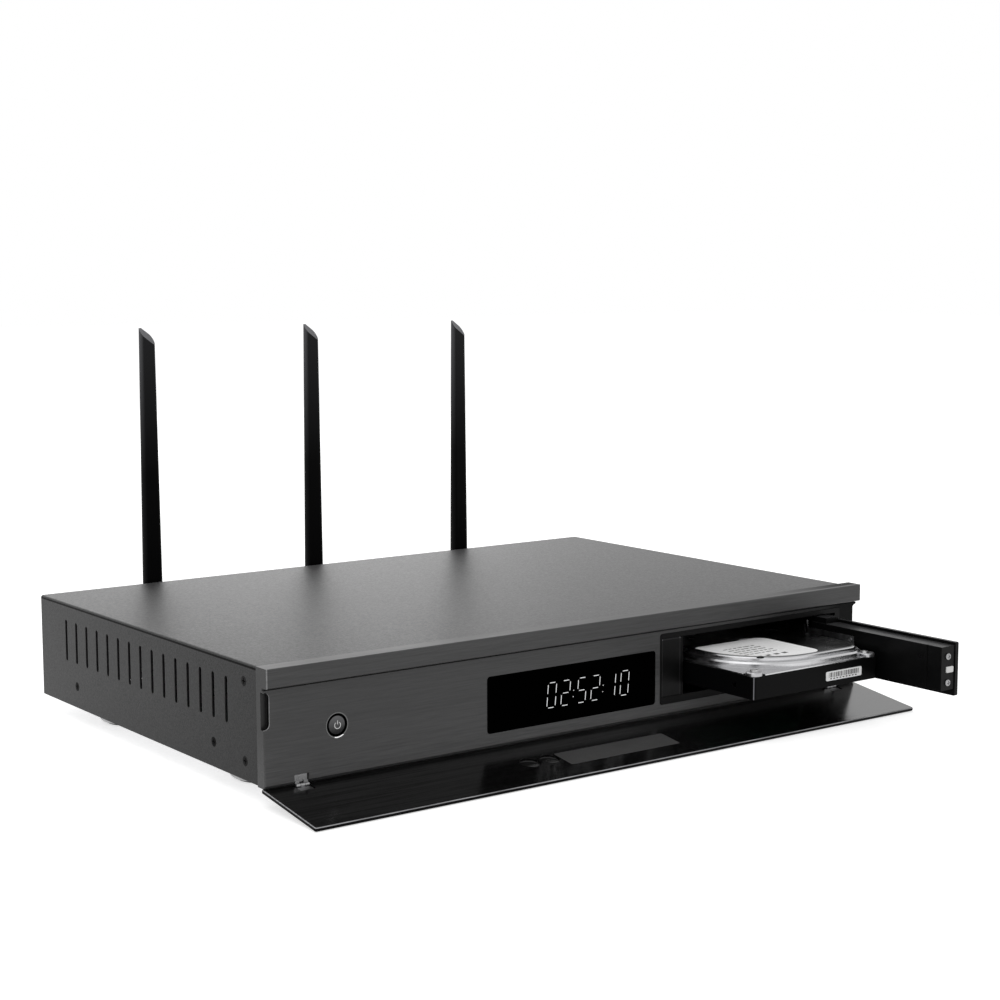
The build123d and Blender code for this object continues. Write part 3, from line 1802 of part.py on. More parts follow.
def display_ribbon():
    """The flat cable, folded from the display board to the main board."""
    start = board_front + board_thickness + display_plug[1]
    fold = start + ribbon_bend
    run_z = board_z + ribbon_clearance
    end = main_board_y[0] + ribbon_end
    route = [
        (start, display_centre_z),
        (fold, display_centre_z),
        (fold + ribbon_thickness, run_z + ribbon_thickness),
        (end, run_z + ribbon_thickness),
        (end, board_z),
        (end - ribbon_thickness, board_z),
        (end - ribbon_thickness, run_z),
        (fold - ribbon_thickness, run_z),
        (fold - ribbon_thickness, display_centre_z - ribbon_thickness),
        (start, display_centre_z - ribbon_thickness),
    ]
    return prism_x(route, around(display_centre_x, ribbon_width))


def build():
    parts = {
        "top_cover": top_cover(),
        "case_screws": side_screws() + at_feet(foot_screw),
        "base_pan": base_pan(),
        "foot_rings": at_feet(foot_body),
        "foot_pads": at_feet(foot_pad),
        "front_panel": front_panel(),
        "display_window": display_window(),
        "display_tube": display_tube(),
        "display_board": display_board(),
        "display_ribbon": display_ribbon(),
        "button_ring": button_ring(),
        "power_button": power_button(),
        "button_board": [button_board(), button_switch()],
        "flap_panel": flap_panel(),
        "flap_window": flap_window(),
        "flap_lenses": [flap_lens(x) for x in flap_lens_x],
        "flap_hinge_leaves": both_sides(moving_leaf()),
        "panel_hinge_leaves": both_sides(fixed_leaf()),
        "flap_hinge_pins": both_sides(hinge_pin()),
        "rack_bezel": rack_bezel(),
        "release_key": release_key(),
        "rack_door_face": door_plate(),
        "rack_door_box": door_box(),
        "rack_door_pin": door_pin(),
        "rack_door_screws": [door_screw(z) for z in door_screw_z] + [door_rivet()],
        "rack_door_latch": door_latch(),
        "rack_door_strap": door_strap(),
        "rack_cage": rack_cage(),
        "rack_rails": [drive_rail(-1), drive_rail(1)],
        "rack_backplane": backplane(),
        "rack_plug": backplane_plug(),
        "drive_casting": drive_base(),
        "drive_lid": drive_lid(),
        "drive_board": drive_board(),
        "drive_socket": drive_socket(),
        "drive_labels": [drive_label(), drive_end_label_plate()],
        "drive_screws": drive_screws(),
        "main_board": [main_board(), main_chip()],
        "heat_sink": heat_sink(),
        "power_board": power_board(),
        "transformer": transformer(),
        "capacitors": capacitors(),
        "board_fixings": board_fixings(),
        "rear_panel": rear_panel(),
        "data_sockets": data_sockets(),
        "optical_socket": optical_socket(),
        "audio_jacks": [audio_jack(x) for x in audio_x],
        "mains_inlet": mains_inlet(),
        "inlet_blades": inlet_blades(),
        "rocker_frame": rocker_frame(),
        "rocker_switch": rocker(),
        "aerial_jacks": [aerial_jack(x) for x in aerial_x],
    }
    for number, x in enumerate(aerial_x, start=1):
        parts[f"aerial_{number}_base"] = [aerial_base(x), aerial_pin(x)]
        parts[f"aerial_{number}_blade"] = aerial_blade(x)
    return parts


def solids_of(shape):
    pieces = shape if isinstance(shape, list) else [shape]
    return [solid for piece in pieces for solid in piece.solids()]


pieces = {name: Compound(solids_of(shape)) for name, shape in build().items()}
whole = Compound([solid for piece in pieces.values() for solid in piece.solids()]).bounding_box()
origin = Pos(-(whole.min.X + whole.max.X) / 2, -(whole.min.Y + whole.max.Y) / 2, -whole.min.Z)

os.makedirs("parts", exist_ok=True)
for name, piece in pieces.items():
    export_step(origin * piece, f"parts/{name}.step")
print(len(pieces), "pieces", "moved by", tuple(origin.position))
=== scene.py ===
import math
import random

import bpy
from bpy.props import FloatProperty, FloatVectorProperty, PointerProperty, StringProperty
from mathutils import Matrix, Vector


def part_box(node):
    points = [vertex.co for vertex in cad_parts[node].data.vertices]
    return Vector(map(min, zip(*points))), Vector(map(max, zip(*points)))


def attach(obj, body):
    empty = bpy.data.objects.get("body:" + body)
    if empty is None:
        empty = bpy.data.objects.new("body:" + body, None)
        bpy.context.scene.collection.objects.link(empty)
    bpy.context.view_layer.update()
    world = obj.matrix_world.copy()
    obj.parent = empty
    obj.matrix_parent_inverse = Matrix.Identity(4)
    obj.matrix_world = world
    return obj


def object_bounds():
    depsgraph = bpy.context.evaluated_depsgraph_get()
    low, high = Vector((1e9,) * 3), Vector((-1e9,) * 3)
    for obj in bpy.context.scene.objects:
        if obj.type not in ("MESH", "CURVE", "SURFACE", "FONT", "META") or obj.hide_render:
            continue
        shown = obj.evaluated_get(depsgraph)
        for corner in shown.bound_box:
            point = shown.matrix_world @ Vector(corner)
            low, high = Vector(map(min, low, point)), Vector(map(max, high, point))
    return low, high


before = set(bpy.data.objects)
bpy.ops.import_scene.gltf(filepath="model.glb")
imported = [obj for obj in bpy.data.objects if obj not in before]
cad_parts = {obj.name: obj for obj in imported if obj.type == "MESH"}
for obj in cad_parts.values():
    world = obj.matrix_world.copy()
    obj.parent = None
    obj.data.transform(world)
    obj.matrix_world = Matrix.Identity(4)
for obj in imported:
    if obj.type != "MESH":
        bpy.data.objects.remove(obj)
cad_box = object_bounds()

bl_info = {
    "name": "Media Player Finishes",
    "version": (1, 0, 0),
    "blender": (4, 5, 0),
    "location": "3D View > Sidebar > Player",
    "description": "Finishes, lit display, labels and studio for a media player with a drive rack",
    "category": "Object",
}

MM = 0.001

# Sizes that the finishes follow

FACE_DEPTH = 3.6 * MM  # from the panel's foremost plane back to its recessed face
NOTCH_DROP = 12.7 * MM  # from the panel's top down to a finger notch
NOTCH_HEIGHT = 19.6 * MM
NOTCH_DEPTH = 3.8 * MM
PAINTED_HEIGHT = 13.3 * MM  # of the drive's casting

# Places of the digits and the thickness of print

DIGITS_IN = 41.5 * MM  # from the display window's left end
DIGITS_UP = 8.8 * MM  # from the display window's lower edge
COLON_HEIGHTS = (0.27, 0.53)  # of the two dots, as shares of a digit's height
COLON_SHIFT = 1.35 * MM  # how far a colon stands left of the next digit's place
INK = 0.03 * MM

# The studio, in metres apart from the sensor, with the camera's place set from the panel

FLOOR_SIZE = 14.0
SENSOR_WIDTH = 36.0
CAMERA_FROM_CORNER = Vector((-0.47557, -0.84325, 0.27716))  # from the floor under its left end


# Settings that a user would change


class PlayerColours(bpy.types.PropertyGroup):
    """Colours of the main finishes, as linear values."""

    panel: FloatVectorProperty(
        name="Front panel", description="Brushed anodised metal", subtype="COLOR",
        size=3, min=0, max=1, default=(0.046, 0.046, 0.0465),
    )
    cover: FloatVectorProperty(
        name="Cover", description="Fine powder coat of the cover and the back", subtype="COLOR",
        size=3, min=0, max=1, default=(0.018, 0.018, 0.0183),
    )
    flap: FloatVectorProperty(
        name="Flap", description="Brushed inner face of the flap", subtype="COLOR",
        size=3, min=0, max=1, default=(0.003, 0.003, 0.0031),
    )
    moulding: FloatVectorProperty(
        name="Mouldings", description="Black plastic of the rack and its door", subtype="COLOR",
        size=3, min=0, max=1, default=(0.0025, 0.0025, 0.0026),
    )
    lid: FloatVectorProperty(
        name="Drive lid", description="Pressed metal lid of the hard drive", subtype="COLOR",
        size=3, min=0, max=1, default=(0.52, 0.52, 0.53),
    )
    digits: FloatVectorProperty(
        name="Digits", description="Light of the display's digits", subtype="COLOR",
        size=3, min=0, max=1, default=(0.80, 0.81, 0.82),
    )


class PlayerDisplay(bpy.types.PropertyGroup):
    """The running time on the display."""

    reading: StringProperty(
        name="Reading", description="Digits and colons shown", default="02:52:10",
    )
    height: FloatProperty(
        name="Digit height", description="Height of a digit", default=14.2 * MM, unit="LENGTH",
    )
    width: FloatProperty(
        name="Digit width", description="Width of a digit", default=5.9 * MM, unit="LENGTH",
    )
    pitch: FloatProperty(
        name="Digit pitch", description="Distance from one digit to the next", default=10.0 * MM,
        unit="LENGTH",
    )
    colon: FloatProperty(
        name="Colon room", description="Extra room that a colon takes", default=1.7 * MM,
        unit="LENGTH",
    )
    stroke: FloatProperty(
        name="Stroke", description="Width of a lit segment", default=0.41 * MM, unit="LENGTH",
    )
    slant: FloatProperty(
        name="Slant", description="Sideways lean of the digits", default=math.radians(5.0),
        subtype="ANGLE",
    )


class PlayerStudio(bpy.types.PropertyGroup):
    """Camera and light."""

    lens: FloatProperty(
        name="Lens", description="Focal length", default=70.06, subtype="DISTANCE_CAMERA",
    )
    yaw: FloatProperty(
        name="Yaw", description="Camera's heading from the back, towards the right",
        default=0.63551, subtype="ANGLE",
    )
    pitch: FloatProperty(
        name="Pitch", description="Camera's tilt above level", default=-0.12216, subtype="ANGLE",
    )
    roll: FloatProperty(
        name="Roll", description="Camera's turn about its view", default=-0.00269, subtype="ANGLE",
    )
    key: FloatProperty(
        name="Key light", description="Power of the large lamp above and to the left",
        default=9.0, unit="POWER",
    )
    rim: FloatProperty(
        name="Back light", description="Power of the lamp behind the object", default=12.0,
        unit="POWER",
    )
    room: FloatProperty(
        name="Room light", description="Strength of the light from all round", default=0.60,
    )


# Node building


def grey(level):
    return (level, level, level)


class Finish:
    """A material and short ways to add its nodes."""

    def __init__(self, name, colour, roughness, metallic=0.0, specular=0.5):
        self.material = bpy.data.materials.new(name)
        self.material.use_nodes = True
        self.tree = self.material.node_tree
        self.shader = self.tree.nodes["Principled BSDF"]
        self.set("Base Color", (*colour, 1.0))
        self.set("Roughness", roughness)
        self.set("Metallic", metallic)
        self.set("Specular IOR Level", specular)
        self.colour = colour
        coordinates = self.add("ShaderNodeTexCoord")
        self.place = coordinates.outputs["Object"]
        self.facing = coordinates.outputs["Normal"]
        self.normal = None

    def set(self, socket, value):
        self.shader.inputs[socket].default_value = value

    def add(self, kind, **values):
        node = self.tree.nodes.new(kind)
        for key, value in values.items():
            setattr(node, key, value)
        return node

    def link(self, source, target):
        self.tree.links.new(source, target)

    def stretched(self, scale):
        mapping = self.add("ShaderNodeMapping")
        mapping.inputs["Scale"].default_value = scale
        self.link(self.place, mapping.inputs["Vector"])
        return mapping.outputs["Vector"]

    def noise(self, scale, detail=2.0, roughness=0.5):
        """Noise with features about 1 / scale metres wide along each axis."""
        node = self.add("ShaderNodeTexNoise")
        node.inputs["Scale"].default_value = 1.0
        node.inputs["Detail"].default_value = detail
        node.inputs["Roughness"].default_value = roughness
        self.link(self.stretched(scale), node.inputs["Vector"])
        return node.outputs["Fac"]

    def ramp(self, factor, low, high, start=0.3, end=0.7):
        """Map a factor to a range of greys or colours."""
        node = self.add("ShaderNodeValToRGB")
        for element, place, value in zip(node.color_ramp.elements, (start, end), (low, high)):
            element.position = place
            colour = value if isinstance(value, tuple) else grey(value)
            element.color = (*colour, 1.0)
        self.link(factor, node.inputs["Fac"])
        return node.outputs["Color"]

    def tint(self, factor, spread, start=0.3, end=0.7):
        """Vary the base colour about its own value."""
        low = tuple(c * (1 - spread) for c in self.colour)
        high = tuple(min(1.0, c * (1 + spread)) for c in self.colour)
        self.link(self.ramp(factor, low, high, start, end), self.shader.inputs["Base Color"])

    def vary(self, factor, low, high, start=0.3, end=0.7):
        """Vary the roughness."""
        self.link(self.ramp(factor, low, high, start, end), self.shader.inputs["Roughness"])

    def bump(self, factor, depth, strength):
        node = self.add("ShaderNodeBump")
        node.inputs["Strength"].default_value = strength
        node.inputs["Distance"].default_value = depth
        self.link(factor, node.inputs["Height"])
        if self.normal is not None:
            self.link(self.normal, node.inputs["Normal"])
        self.normal = node.outputs["Normal"]
        self.link(self.normal, self.shader.inputs["Normal"])

    def soft_edge(self, radius):
        """Round the edges in the shading only."""
        node = self.add("ShaderNodeBevel", samples=4)
        node.inputs["Radius"].default_value = radius
        self.normal = node.outputs["Normal"]
        self.link(self.normal, self.shader.inputs["Normal"])

    def axis(self, channel, facing=False):
        """The place along an axis, or how far the surface faces along it."""
        node = self.add("ShaderNodeSeparateXYZ")
        self.link(self.facing if facing else self.place, node.inputs["Vector"])
        return node.outputs[channel]

    def along(self, channel, start, end, facing=False):
        """A mask that grows from nought to one between two levels of an axis."""
        node = self.add("ShaderNodeMapRange")
        node.inputs["From Min"].default_value = start
        node.inputs["From Max"].default_value = end
        self.link(self.axis(channel, facing), node.inputs["Value"])
        return node.outputs["Result"]

    def within(self, channel, low, high, facing=False):
        """A mask that is one between two levels of an axis."""
        node = self.add("ShaderNodeMath", operation="COMPARE")
        node.inputs[1].default_value = (low + high) / 2
        node.inputs[2].default_value = (high - low) / 2
        self.link(self.axis(channel, facing), node.inputs[0])
        return node.outputs["Value"]

    def both(self, *masks):
        """A mask that is one where all of the masks are."""
        total = masks[0]
        for mask in masks[1:]:
            node = self.add("ShaderNodeMath", operation="MULTIPLY")
            self.link(total, node.inputs[0])
            self.link(mask, node.inputs[1])
            total = node.outputs["Value"]
        return total

    def shade(self, mask, factor):
        """Multiply the base colour where a mask is one."""
        socket = self.shader.inputs["Base Color"]
        node = self.add("ShaderNodeMix", data_type="RGBA", blend_type="MULTIPLY")
        node.inputs["B"].default_value = (*grey(factor), 1.0)
        if socket.is_linked:
            self.link(socket.links[0].from_socket, node.inputs["A"])
        else:
            node.inputs["A"].default_value = (*self.colour, 1.0)
        self.link(mask, node.inputs["Factor"])
        self.link(node.outputs["Result"], socket)

    def dull(self, mask, factor):
        """Multiply the strength of reflections where a mask is one."""
        socket = self.shader.inputs["Specular IOR Level"]
        share = self.add("ShaderNodeMapRange")
        share.inputs["To Min"].default_value = 1.0
        share.inputs["To Max"].default_value = factor
        self.link(mask, share.inputs["Value"])
        product = self.add("ShaderNodeMath", operation="MULTIPLY")
        product.inputs[0].default_value = socket.default_value
        if socket.is_linked:
            self.link(socket.links[0].from_socket, product.inputs[0])
        self.link(share.outputs["Result"], product.inputs[1])
        self.link(product.outputs["Value"], socket)

    def split(self, channel, level, above):
        """Use another colour and metal where the place along an axis is above a level."""
        test = self.add("ShaderNodeMath", operation="GREATER_THAN")
        test.inputs[1].default_value = level
        self.link(self.axis(channel), test.inputs[0])
        mix = self.add("ShaderNodeMix", data_type="RGBA")
        mix.inputs["A"].default_value = (*self.colour, 1.0)
        mix.inputs["B"].default_value = (*above, 1.0)
        self.link(test.outputs["Value"], mix.inputs["Factor"])
        self.link(mix.outputs["Result"], self.shader.inputs["Base Color"])
        self.link(test.outputs["Value"], self.shader.inputs["Metallic"])


def powder_coat(name, colour):
    """Fine even grains with a slightly uneven tone."""
    roughness = 0.42
    f = Finish(name, colour, roughness, specular=0.22)
    f.soft_edge(0.4 * MM)
    f.tint(f.noise((1300, 1300, 1300)), spread=0.45, start=0.38, end=0.62)
    f.vary(f.noise((700, 700, 700)), roughness - 0.03, roughness + 0.05)
    f.bump(f.noise((1500, 1500, 1500)), depth=0.10 * MM, strength=0.6)
    return f


def brushed(name, colour, roughness, spread, specular=0.4, depth=0.03):
    """Dark anodised metal brushed along X; depth is in millimetres."""
    f = Finish(name, colour, roughness, specular=specular)
    f.soft_edge(0.25 * MM)
    fine = f.noise((70, 1900, 1900), detail=3, roughness=0.6)
    broad = f.noise((24, 700, 700))
    blend = f.add("ShaderNodeMix", data_type="FLOAT")
    blend.inputs["Factor"].default_value = 0.45
    f.link(fine, blend.inputs["A"])
    f.link(broad, blend.inputs["B"])
    streaks = blend.outputs["Result"]
    f.tint(streaks, spread, start=0.34, end=0.66)
    f.vary(streaks, roughness - 0.06, roughness + 0.08)
    f.bump(fine, depth * MM, strength=0.35)
    return f


def moulded(name, colour, roughness=0.38, specular=0.4, grain=0.04):
    """Moulded plastic with a fine spark-eroded skin; grain is its depth in millimetres."""
    f = Finish(name, colour, roughness, specular=specular)
    f.soft_edge(0.3 * MM)
    f.vary(f.noise((60, 60, 60)), roughness - 0.05, roughness + 0.07)
    f.bump(f.noise((1800, 1800, 1800)), grain * MM, strength=0.4)
    return f


def polished(name, colour, roughness=0.08, specular=0.3, metallic=0.0):
    """A smooth hard surface with faint handling marks."""
    f = Finish(name, colour, roughness, metallic, specular)
    f.vary(f.noise((40, 40, 40), detail=4), roughness * 0.7, roughness * 1.6)
    return f


def sheet_metal(name, colour, roughness=0.33, spread=0.12, depth=0.02):
    """Plated or pressed sheet with rolling marks and mottle; depth is in millimetres."""
    f = Finish(name, colour, roughness, metallic=1.0)
    f.soft_edge(0.2 * MM)
    f.tint(f.noise((70, 260, 70), detail=3), spread)
    f.vary(f.noise((45, 45, 45), detail=4), roughness - 0.06, roughness + 0.1)
    f.bump(f.noise((300, 900, 300)), depth * MM, strength=0.25)
    return f


def turned(name, colour):
    """Turned metal with fine rings about Z."""
    roughness = 0.22
    f = Finish(name, colour, roughness, metallic=1.0)
    wave = f.add("ShaderNodeTexWave", wave_type="RINGS", rings_direction="Z")
    wave.inputs["Scale"].default_value = 900.0
    f.link(f.place, wave.inputs["Vector"])
    f.vary(wave.outputs["Fac"], roughness - 0.05, roughness + 0.08)
    return f


def rubber(name, colour):
    f = Finish(name, colour, roughness=0.75, specular=0.25)
    f.bump(f.noise((700, 700, 700)), depth=0.05 * MM, strength=0.5)
    f.vary(f.noise((90, 90, 90)), 0.66, 0.84)
    return f


def circuit_board(name, colour):
    """Green board with traces that show faintly through the mask."""
    f = Finish(name, colour, roughness=0.35)
    brick = f.add("ShaderNodeTexBrick", offset=0.37)
    brick.inputs["Scale"].default_value = 160.0
    brick.inputs["Mortar Size"].default_value = 0.035
    brick.inputs["Color1"].default_value = (*colour, 1.0)
    brick.inputs["Color2"].default_value = (*[c * 0.8 for c in colour], 1.0)
    brick.inputs["Mortar"].default_value = (*[min(1, c * 2.2 + 0.01) for c in colour], 1.0)
    f.link(f.place, brick.inputs["Vector"])
    f.link(brick.outputs["Color"], f.shader.inputs["Base Color"])
    f.vary(f.noise((50, 50, 50)), 0.3, 0.45)
    return f


def lit(name, colour, strength):
    """A lit segment with a slightly uneven glow."""
    f = Finish(name, grey(0.02), roughness=0.5)
    glow = f.ramp(f.noise((900, 900, 900)), tuple(c * 0.86 for c in colour), tuple(colour))
    f.link(glow, f.shader.inputs["Emission Color"])
    f.set("Emission Strength", strength)
    return f


def printed(name, colour):
    """Ink or paper with a faint fibre."""
    f = Finish(name, colour, roughness=0.5, specular=0.35)
    f.tint(f.noise((600, 600, 600), detail=3), spread=0.05)
    f.vary(f.noise((80, 80, 80)), 0.42, 0.58)
    return f


# Putting finishes and pieces on the model


def dress(finish, *nodes):
    """Give carried-over nodes one finish."""
    for name in nodes:
        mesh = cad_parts[name].data
        mesh.materials.clear()
        mesh.materials.append(finish.material)


class Sheet:
    """Collects flat plates that lie on one face, each a thin closed prism."""

    def __init__(self, origin, right, up, thickness):
        self.origin, self.right, self.up = origin, right, up
        self.out = right.cross(up) * thickness
        self.vertices = []
        self.faces = []

    def plate(self, outline):
        """Add a plate with an outline in the face's own two directions."""
        start = len(self.vertices)
        count = len(outline)
        base = [self.origin + self.right * a + self.up * b for a, b in outline]
        self.vertices += base + [point + self.out for point in base]
        self.faces.append([start + i for i in reversed(range(count))])
        self.faces.append([start + count + i for i in range(count)])
        for i in range(count):
            j = (i + 1) % count
            self.faces.append([start + i, start + j, start + count + j, start + count + i])

    def piece(self, name, finish, body, slot):
        """Make one new piece of the plates, riding on a body."""
        mesh = bpy.data.meshes.new(name)
        mesh.from_pydata(self.vertices, [], self.faces)
        mesh.materials.append(finish.material)
        piece = bpy.data.objects.new(name, mesh)
        bpy.context.scene.collection.objects.link(piece)
        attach(piece, body)


def rectangle(x, y, width, height):
    return [(x, y), (x + width, y), (x + width, y + height), (x, y + height)]


RIGHT = Vector((1, 0, 0))
BACK = Vector((0, 1, 0))
UP = Vector((0, 0, 1))


# Operators, one for each group of like pieces


class PLAYER_OT_case(bpy.types.Operator):
    """Finish the cover, pan, back and feet"""

    bl_idname = "player.case"
    bl_label = "Case"

    def execute(self, context):
        colours = context.scene.player_colours
        self.cover(colours.cover)
        dress(powder_coat("rear_coat", colours.cover), "rear_panel")
        dress(sheet_metal("pan_zinc", (0.5, 0.5, 0.51), roughness=0.4), "base_pan")
        dress(polished("black_screw", grey(0.0015), roughness=0.35, specular=0.04), "case_screws")
        dress(turned("foot_metal", (0.38, 0.38, 0.385)), "foot_rings")
        dress(rubber("foot_rubber", grey(0.02)), "foot_pads")
        return {"FINISHED"}

    def cover(self, colour):
        """The cover, glossier to the right and the back, with painted shade in thin lines along its
        front edge and its folds.
        """
        coat = powder_coat("cover_coat", colour)
        low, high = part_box("top_cover")
        near_front = coat.along("Y", high.y, low.y)
        coat.dull(near_front, 0.60)
        near_right = coat.along("X", low.x, high.x)
        coat.dull(near_right, 2.9)
        # painted shade: thin dark lines where the cover meets the panel and just below the top's fold
        front_seam_shade = coat.within("Y", low.y - 1.0 * MM, low.y + 0.7 * MM)
        fold_shade = coat.within("Z", high.z - 2.0 * MM, high.z - 1.0 * MM)
        for line in (front_seam_shade, fold_shade):
            coat.shade(line, 0.1)
            coat.dull(line, 0.2)
        dress(coat, "top_cover")


class PLAYER_OT_front(bpy.types.Operator):
    """Finish the front panel, the flap, the hinges and the power button"""

    bl_idname = "player.front"
    bl_label = "Front and flap"

    def execute(self, context):
        colours = context.scene.player_colours
        self.panel(colours.panel)
        self.flap(colours.flap)
        self.lenses()
        self.button()
        self.ring()
        dress(printed("flap_tint", grey(0.050)), "flap_window")
        dress(
            sheet_metal("hinge_steel", (0.34, 0.34, 0.345), roughness=0.3, spread=0.3),
            "flap_hinge_leaves", "panel_hinge_leaves", "flap_hinge_pins",
        )
        glass = polished("display_glass", grey(0.0005), roughness=0.06, specular=0.0)
        dress(glass, "display_window")
        return {"FINISHED"}

    def panel(self, colour):
        """The panel: painted light low down, painted shade at its far end and along its back edge."""
        metal = brushed("panel_brushed", colour, roughness=0.42, spread=0.30)
        low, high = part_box("front_panel")
        face = low.y + FACE_DEPTH
        bezel_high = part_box("rack_bezel")[1]
        # painted light: the lower part is lightened, as if lit from the floor
        painted_floor_light = metal.along("Z", low.z + 30 * MM, low.z + 4 * MM)
        metal.shade(painted_floor_light, 1.8)
        # painted shade on the recessed face towards its far end, with weaker reflections there
        far_end_shade = metal.both(
            metal.along("X", bezel_high.x - 70 * MM, bezel_high.x),
            metal.within("Y", face - 0.1 * MM, high.y),
            metal.along("Z", low.z + 8 * MM, low.z + 16 * MM),
        )
        metal.shade(far_end_shade, 0.12)
        metal.dull(far_end_shade, 0.12)
        turned_up = metal.along("Z", 0.6, 0.9, facing=True)
        metal.dull(turned_up, 0.5)
        turned_left = metal.along("X", -0.6, -0.9, facing=True)
        metal.dull(turned_left, 0.4)
        # painted shade along the back edge, where the panel meets the cover
        back_edge_shade = metal.within("Y", high.y - 1.0 * MM, high.y)
        metal.shade(back_edge_shade, 0.1)
        metal.dull(back_edge_shade, 0.2)
        self.panel_ends(metal, low, high, face)
        dress(metal, "front_panel")

    def panel_ends(self, metal, low, high, face):
        """Painted highlights on the cut corners, and finger notches with painted shade behind a
        painted highlight on the lip.
        """
        notch_top = high.z - NOTCH_DROP
        lip_back = face + 0.9 * MM
        for end, inward in ((low.x, 1), (high.x, -1)):
            # painted highlight along the cut corner at each end of the panel's front
            corner = metal.both(
                metal.within("X", *sorted((end + inward * 0.03 * MM, end + inward * 0.6 * MM))),
                metal.within("Y", low.y, low.y + 0.6 * MM),
            )
            metal.shade(corner, 5.0)
            notch = metal.both(
                metal.within("X", *sorted((end, end + inward * NOTCH_DEPTH))),
                metal.within("Z", notch_top - NOTCH_HEIGHT, notch_top + 0.1 * MM),
            )
            # painted shade inside the finger notch, behind its lip
            notch_shade = metal.both(notch, metal.within("Y", lip_back, high.y))
            metal.shade(notch_shade, 0.03)
            # painted highlight on the finger notch's lip
            lip_highlight = metal.both(notch, metal.within("Y", face + 0.05 * MM, lip_back))
            metal.shade(lip_highlight, 7.0)

    def flap(self, colour):
        """The flap: glossy inside, painted highlights on its cut edges, and the panel's tone outside.
        """
        metal = brushed("flap_brushed", colour, roughness=0.18, spread=0.60, specular=1.0, depth=0.006)
        low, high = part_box("flap_panel")
        # painted highlight on the bevelled cut edges
        edge_highlights = metal.within("Z", 0.45, 0.9, facing=True)
        metal.shade(edge_highlights, 110.0)
        outside = metal.along("Z", -0.9, -0.96, facing=True)
        metal.shade(outside, 13.0)
        not_inside = metal.along("Z", 0.96, 0.9, facing=True)
        metal.dull(not_inside, 0.06)
        near_end = metal.along("X", high.x - 60 * MM, low.x + 60 * MM)
        streaks = metal.ramp(metal.noise((20, 900, 900), detail=3), 0.0, 1.0, start=0.42, end=0.60)
        metal.dull(near_end, 0.5)
        metal.dull(metal.both(near_end, streaks), 0.3)
        metal.set("IOR", 1.65)
        dress(metal, "flap_panel")

    def lenses(self):
        """The two dark lenses, with a painted highlight at their front rim."""
        lens = polished("flap_lens", grey(0.012), roughness=0.04, specular=1.0)
        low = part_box("flap_lenses")[0]
        # painted highlight along the lenses' front rim
        rim_highlight = lens.along("Y", low.y + 3.5 * MM, low.y + 0.3 * MM)
        lens.shade(rim_highlight, 7.0)
        dress(lens, "flap_lenses")

    def button(self):
        """The power button's cap, with painted light towards the top and painted shade on its black
        flank.
        """
        cap = polished("button_metal", (0.035, 0.035, 0.036), roughness=0.25)
        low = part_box("power_button")[0]
        # painted light: faces turned upwards are lightened
        turned_up = cap.along("Z", -0.15, 0.35, facing=True)
        cap.shade(turned_up, 4.5)
        # painted shade: the flank behind the dome's rim is black and without reflections
        flank_shade = cap.along("Y", low.y + 0.72 * MM, low.y + 0.8 * MM)
        cap.shade(flank_shade, 0.01)
        cap.dull(flank_shade, 0.0)
        dress(cap, "power_button")

    def ring(self):
        """The thin ring round the cap, with a glint at its lower right."""
        chrome = polished("ring_chrome", grey(0.11), roughness=0.15, specular=0.5, metallic=1.0)
        low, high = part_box("button_ring")
        middle = (low + high) / 2
        glint = chrome.both(
            chrome.within("Z", low.z, middle.z - 5.4 * MM),
            chrome.within("X", middle.x - 1.5 * MM, high.x),
        )
        chrome.shade(glint, 7.0)
        dress(chrome, "button_ring")


SEGMENTS = {
    "0": "abcdef", "1": "bc", "2": "abged", "3": "abgcd", "4": "fgbc",
    "5": "afgcd", "6": "afgedc", "7": "abc", "8": "abcdefg", "9": "abcdfg",
}


def segment_ends(width, height, gap):
    """Ends of the seven strokes of a digit, from its lower left corner."""
    middle = height / 2
    return {
        "a": ((gap, height), (width - gap, height)),
        "b": ((width, height - gap), (width, middle + gap)),
        "c": ((width, middle - gap), (width, gap)),
        "d": ((gap, 0), (width - gap, 0)),
        "e": ((0, gap), (0, middle - gap)),
        "f": ((0, middle + gap), (0, height - gap)),
        "g": ((gap, middle), (width - gap, middle)),
    }


def stroke_outline(start, end, width):
    """A stroke with pointed ends."""
    along = Vector(end) - Vector(start)
    along.normalize()
    side = Vector((-along.y, along.x)) * width / 2
    tip = along * width / 2
    a, b = Vector(start), Vector(end)
    return [a - tip, a - side, b - side, b + tip, b + side, a + side]


class PLAYER_OT_display(bpy.types.Operator):
    """Light the running time on the display"""

    bl_idname = "player.display"
    bl_label = "Display digits"

    def execute(self, context):
        settings = context.scene.player_display
        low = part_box("display_window")[0]
        corner = low + RIGHT * DIGITS_IN + UP * DIGITS_UP
        lean = math.tan(settings.slant)
        sheet = Sheet(corner, RIGHT, UP, 0.05 * MM)

        def leaned(outline, offset):
            return [(p[0] + offset + p[1] * lean, p[1]) for p in outline]

        gap = settings.stroke * 2.8
        strokes = segment_ends(settings.width, settings.height, gap)
        dot_size = settings.stroke * 1.2
        x = 0.0
        for mark in settings.reading:
            if mark == ":":
                for share in COLON_HEIGHTS:
                    dot = rectangle(-dot_size / 2, settings.height * share, dot_size, dot_size)
                    sheet.plate(leaned(dot, x - COLON_SHIFT))
                x += settings.colon
                continue
            for name in SEGMENTS[mark]:
                sheet.plate(leaned(stroke_outline(*strokes[name], settings.stroke), x))
            x += settings.pitch
        light = lit("digit_light", context.scene.player_colours.digits, strength=1.0)
        sheet.piece("display_digits", light, "chassis", "display_glass")
        return {"FINISHED"}


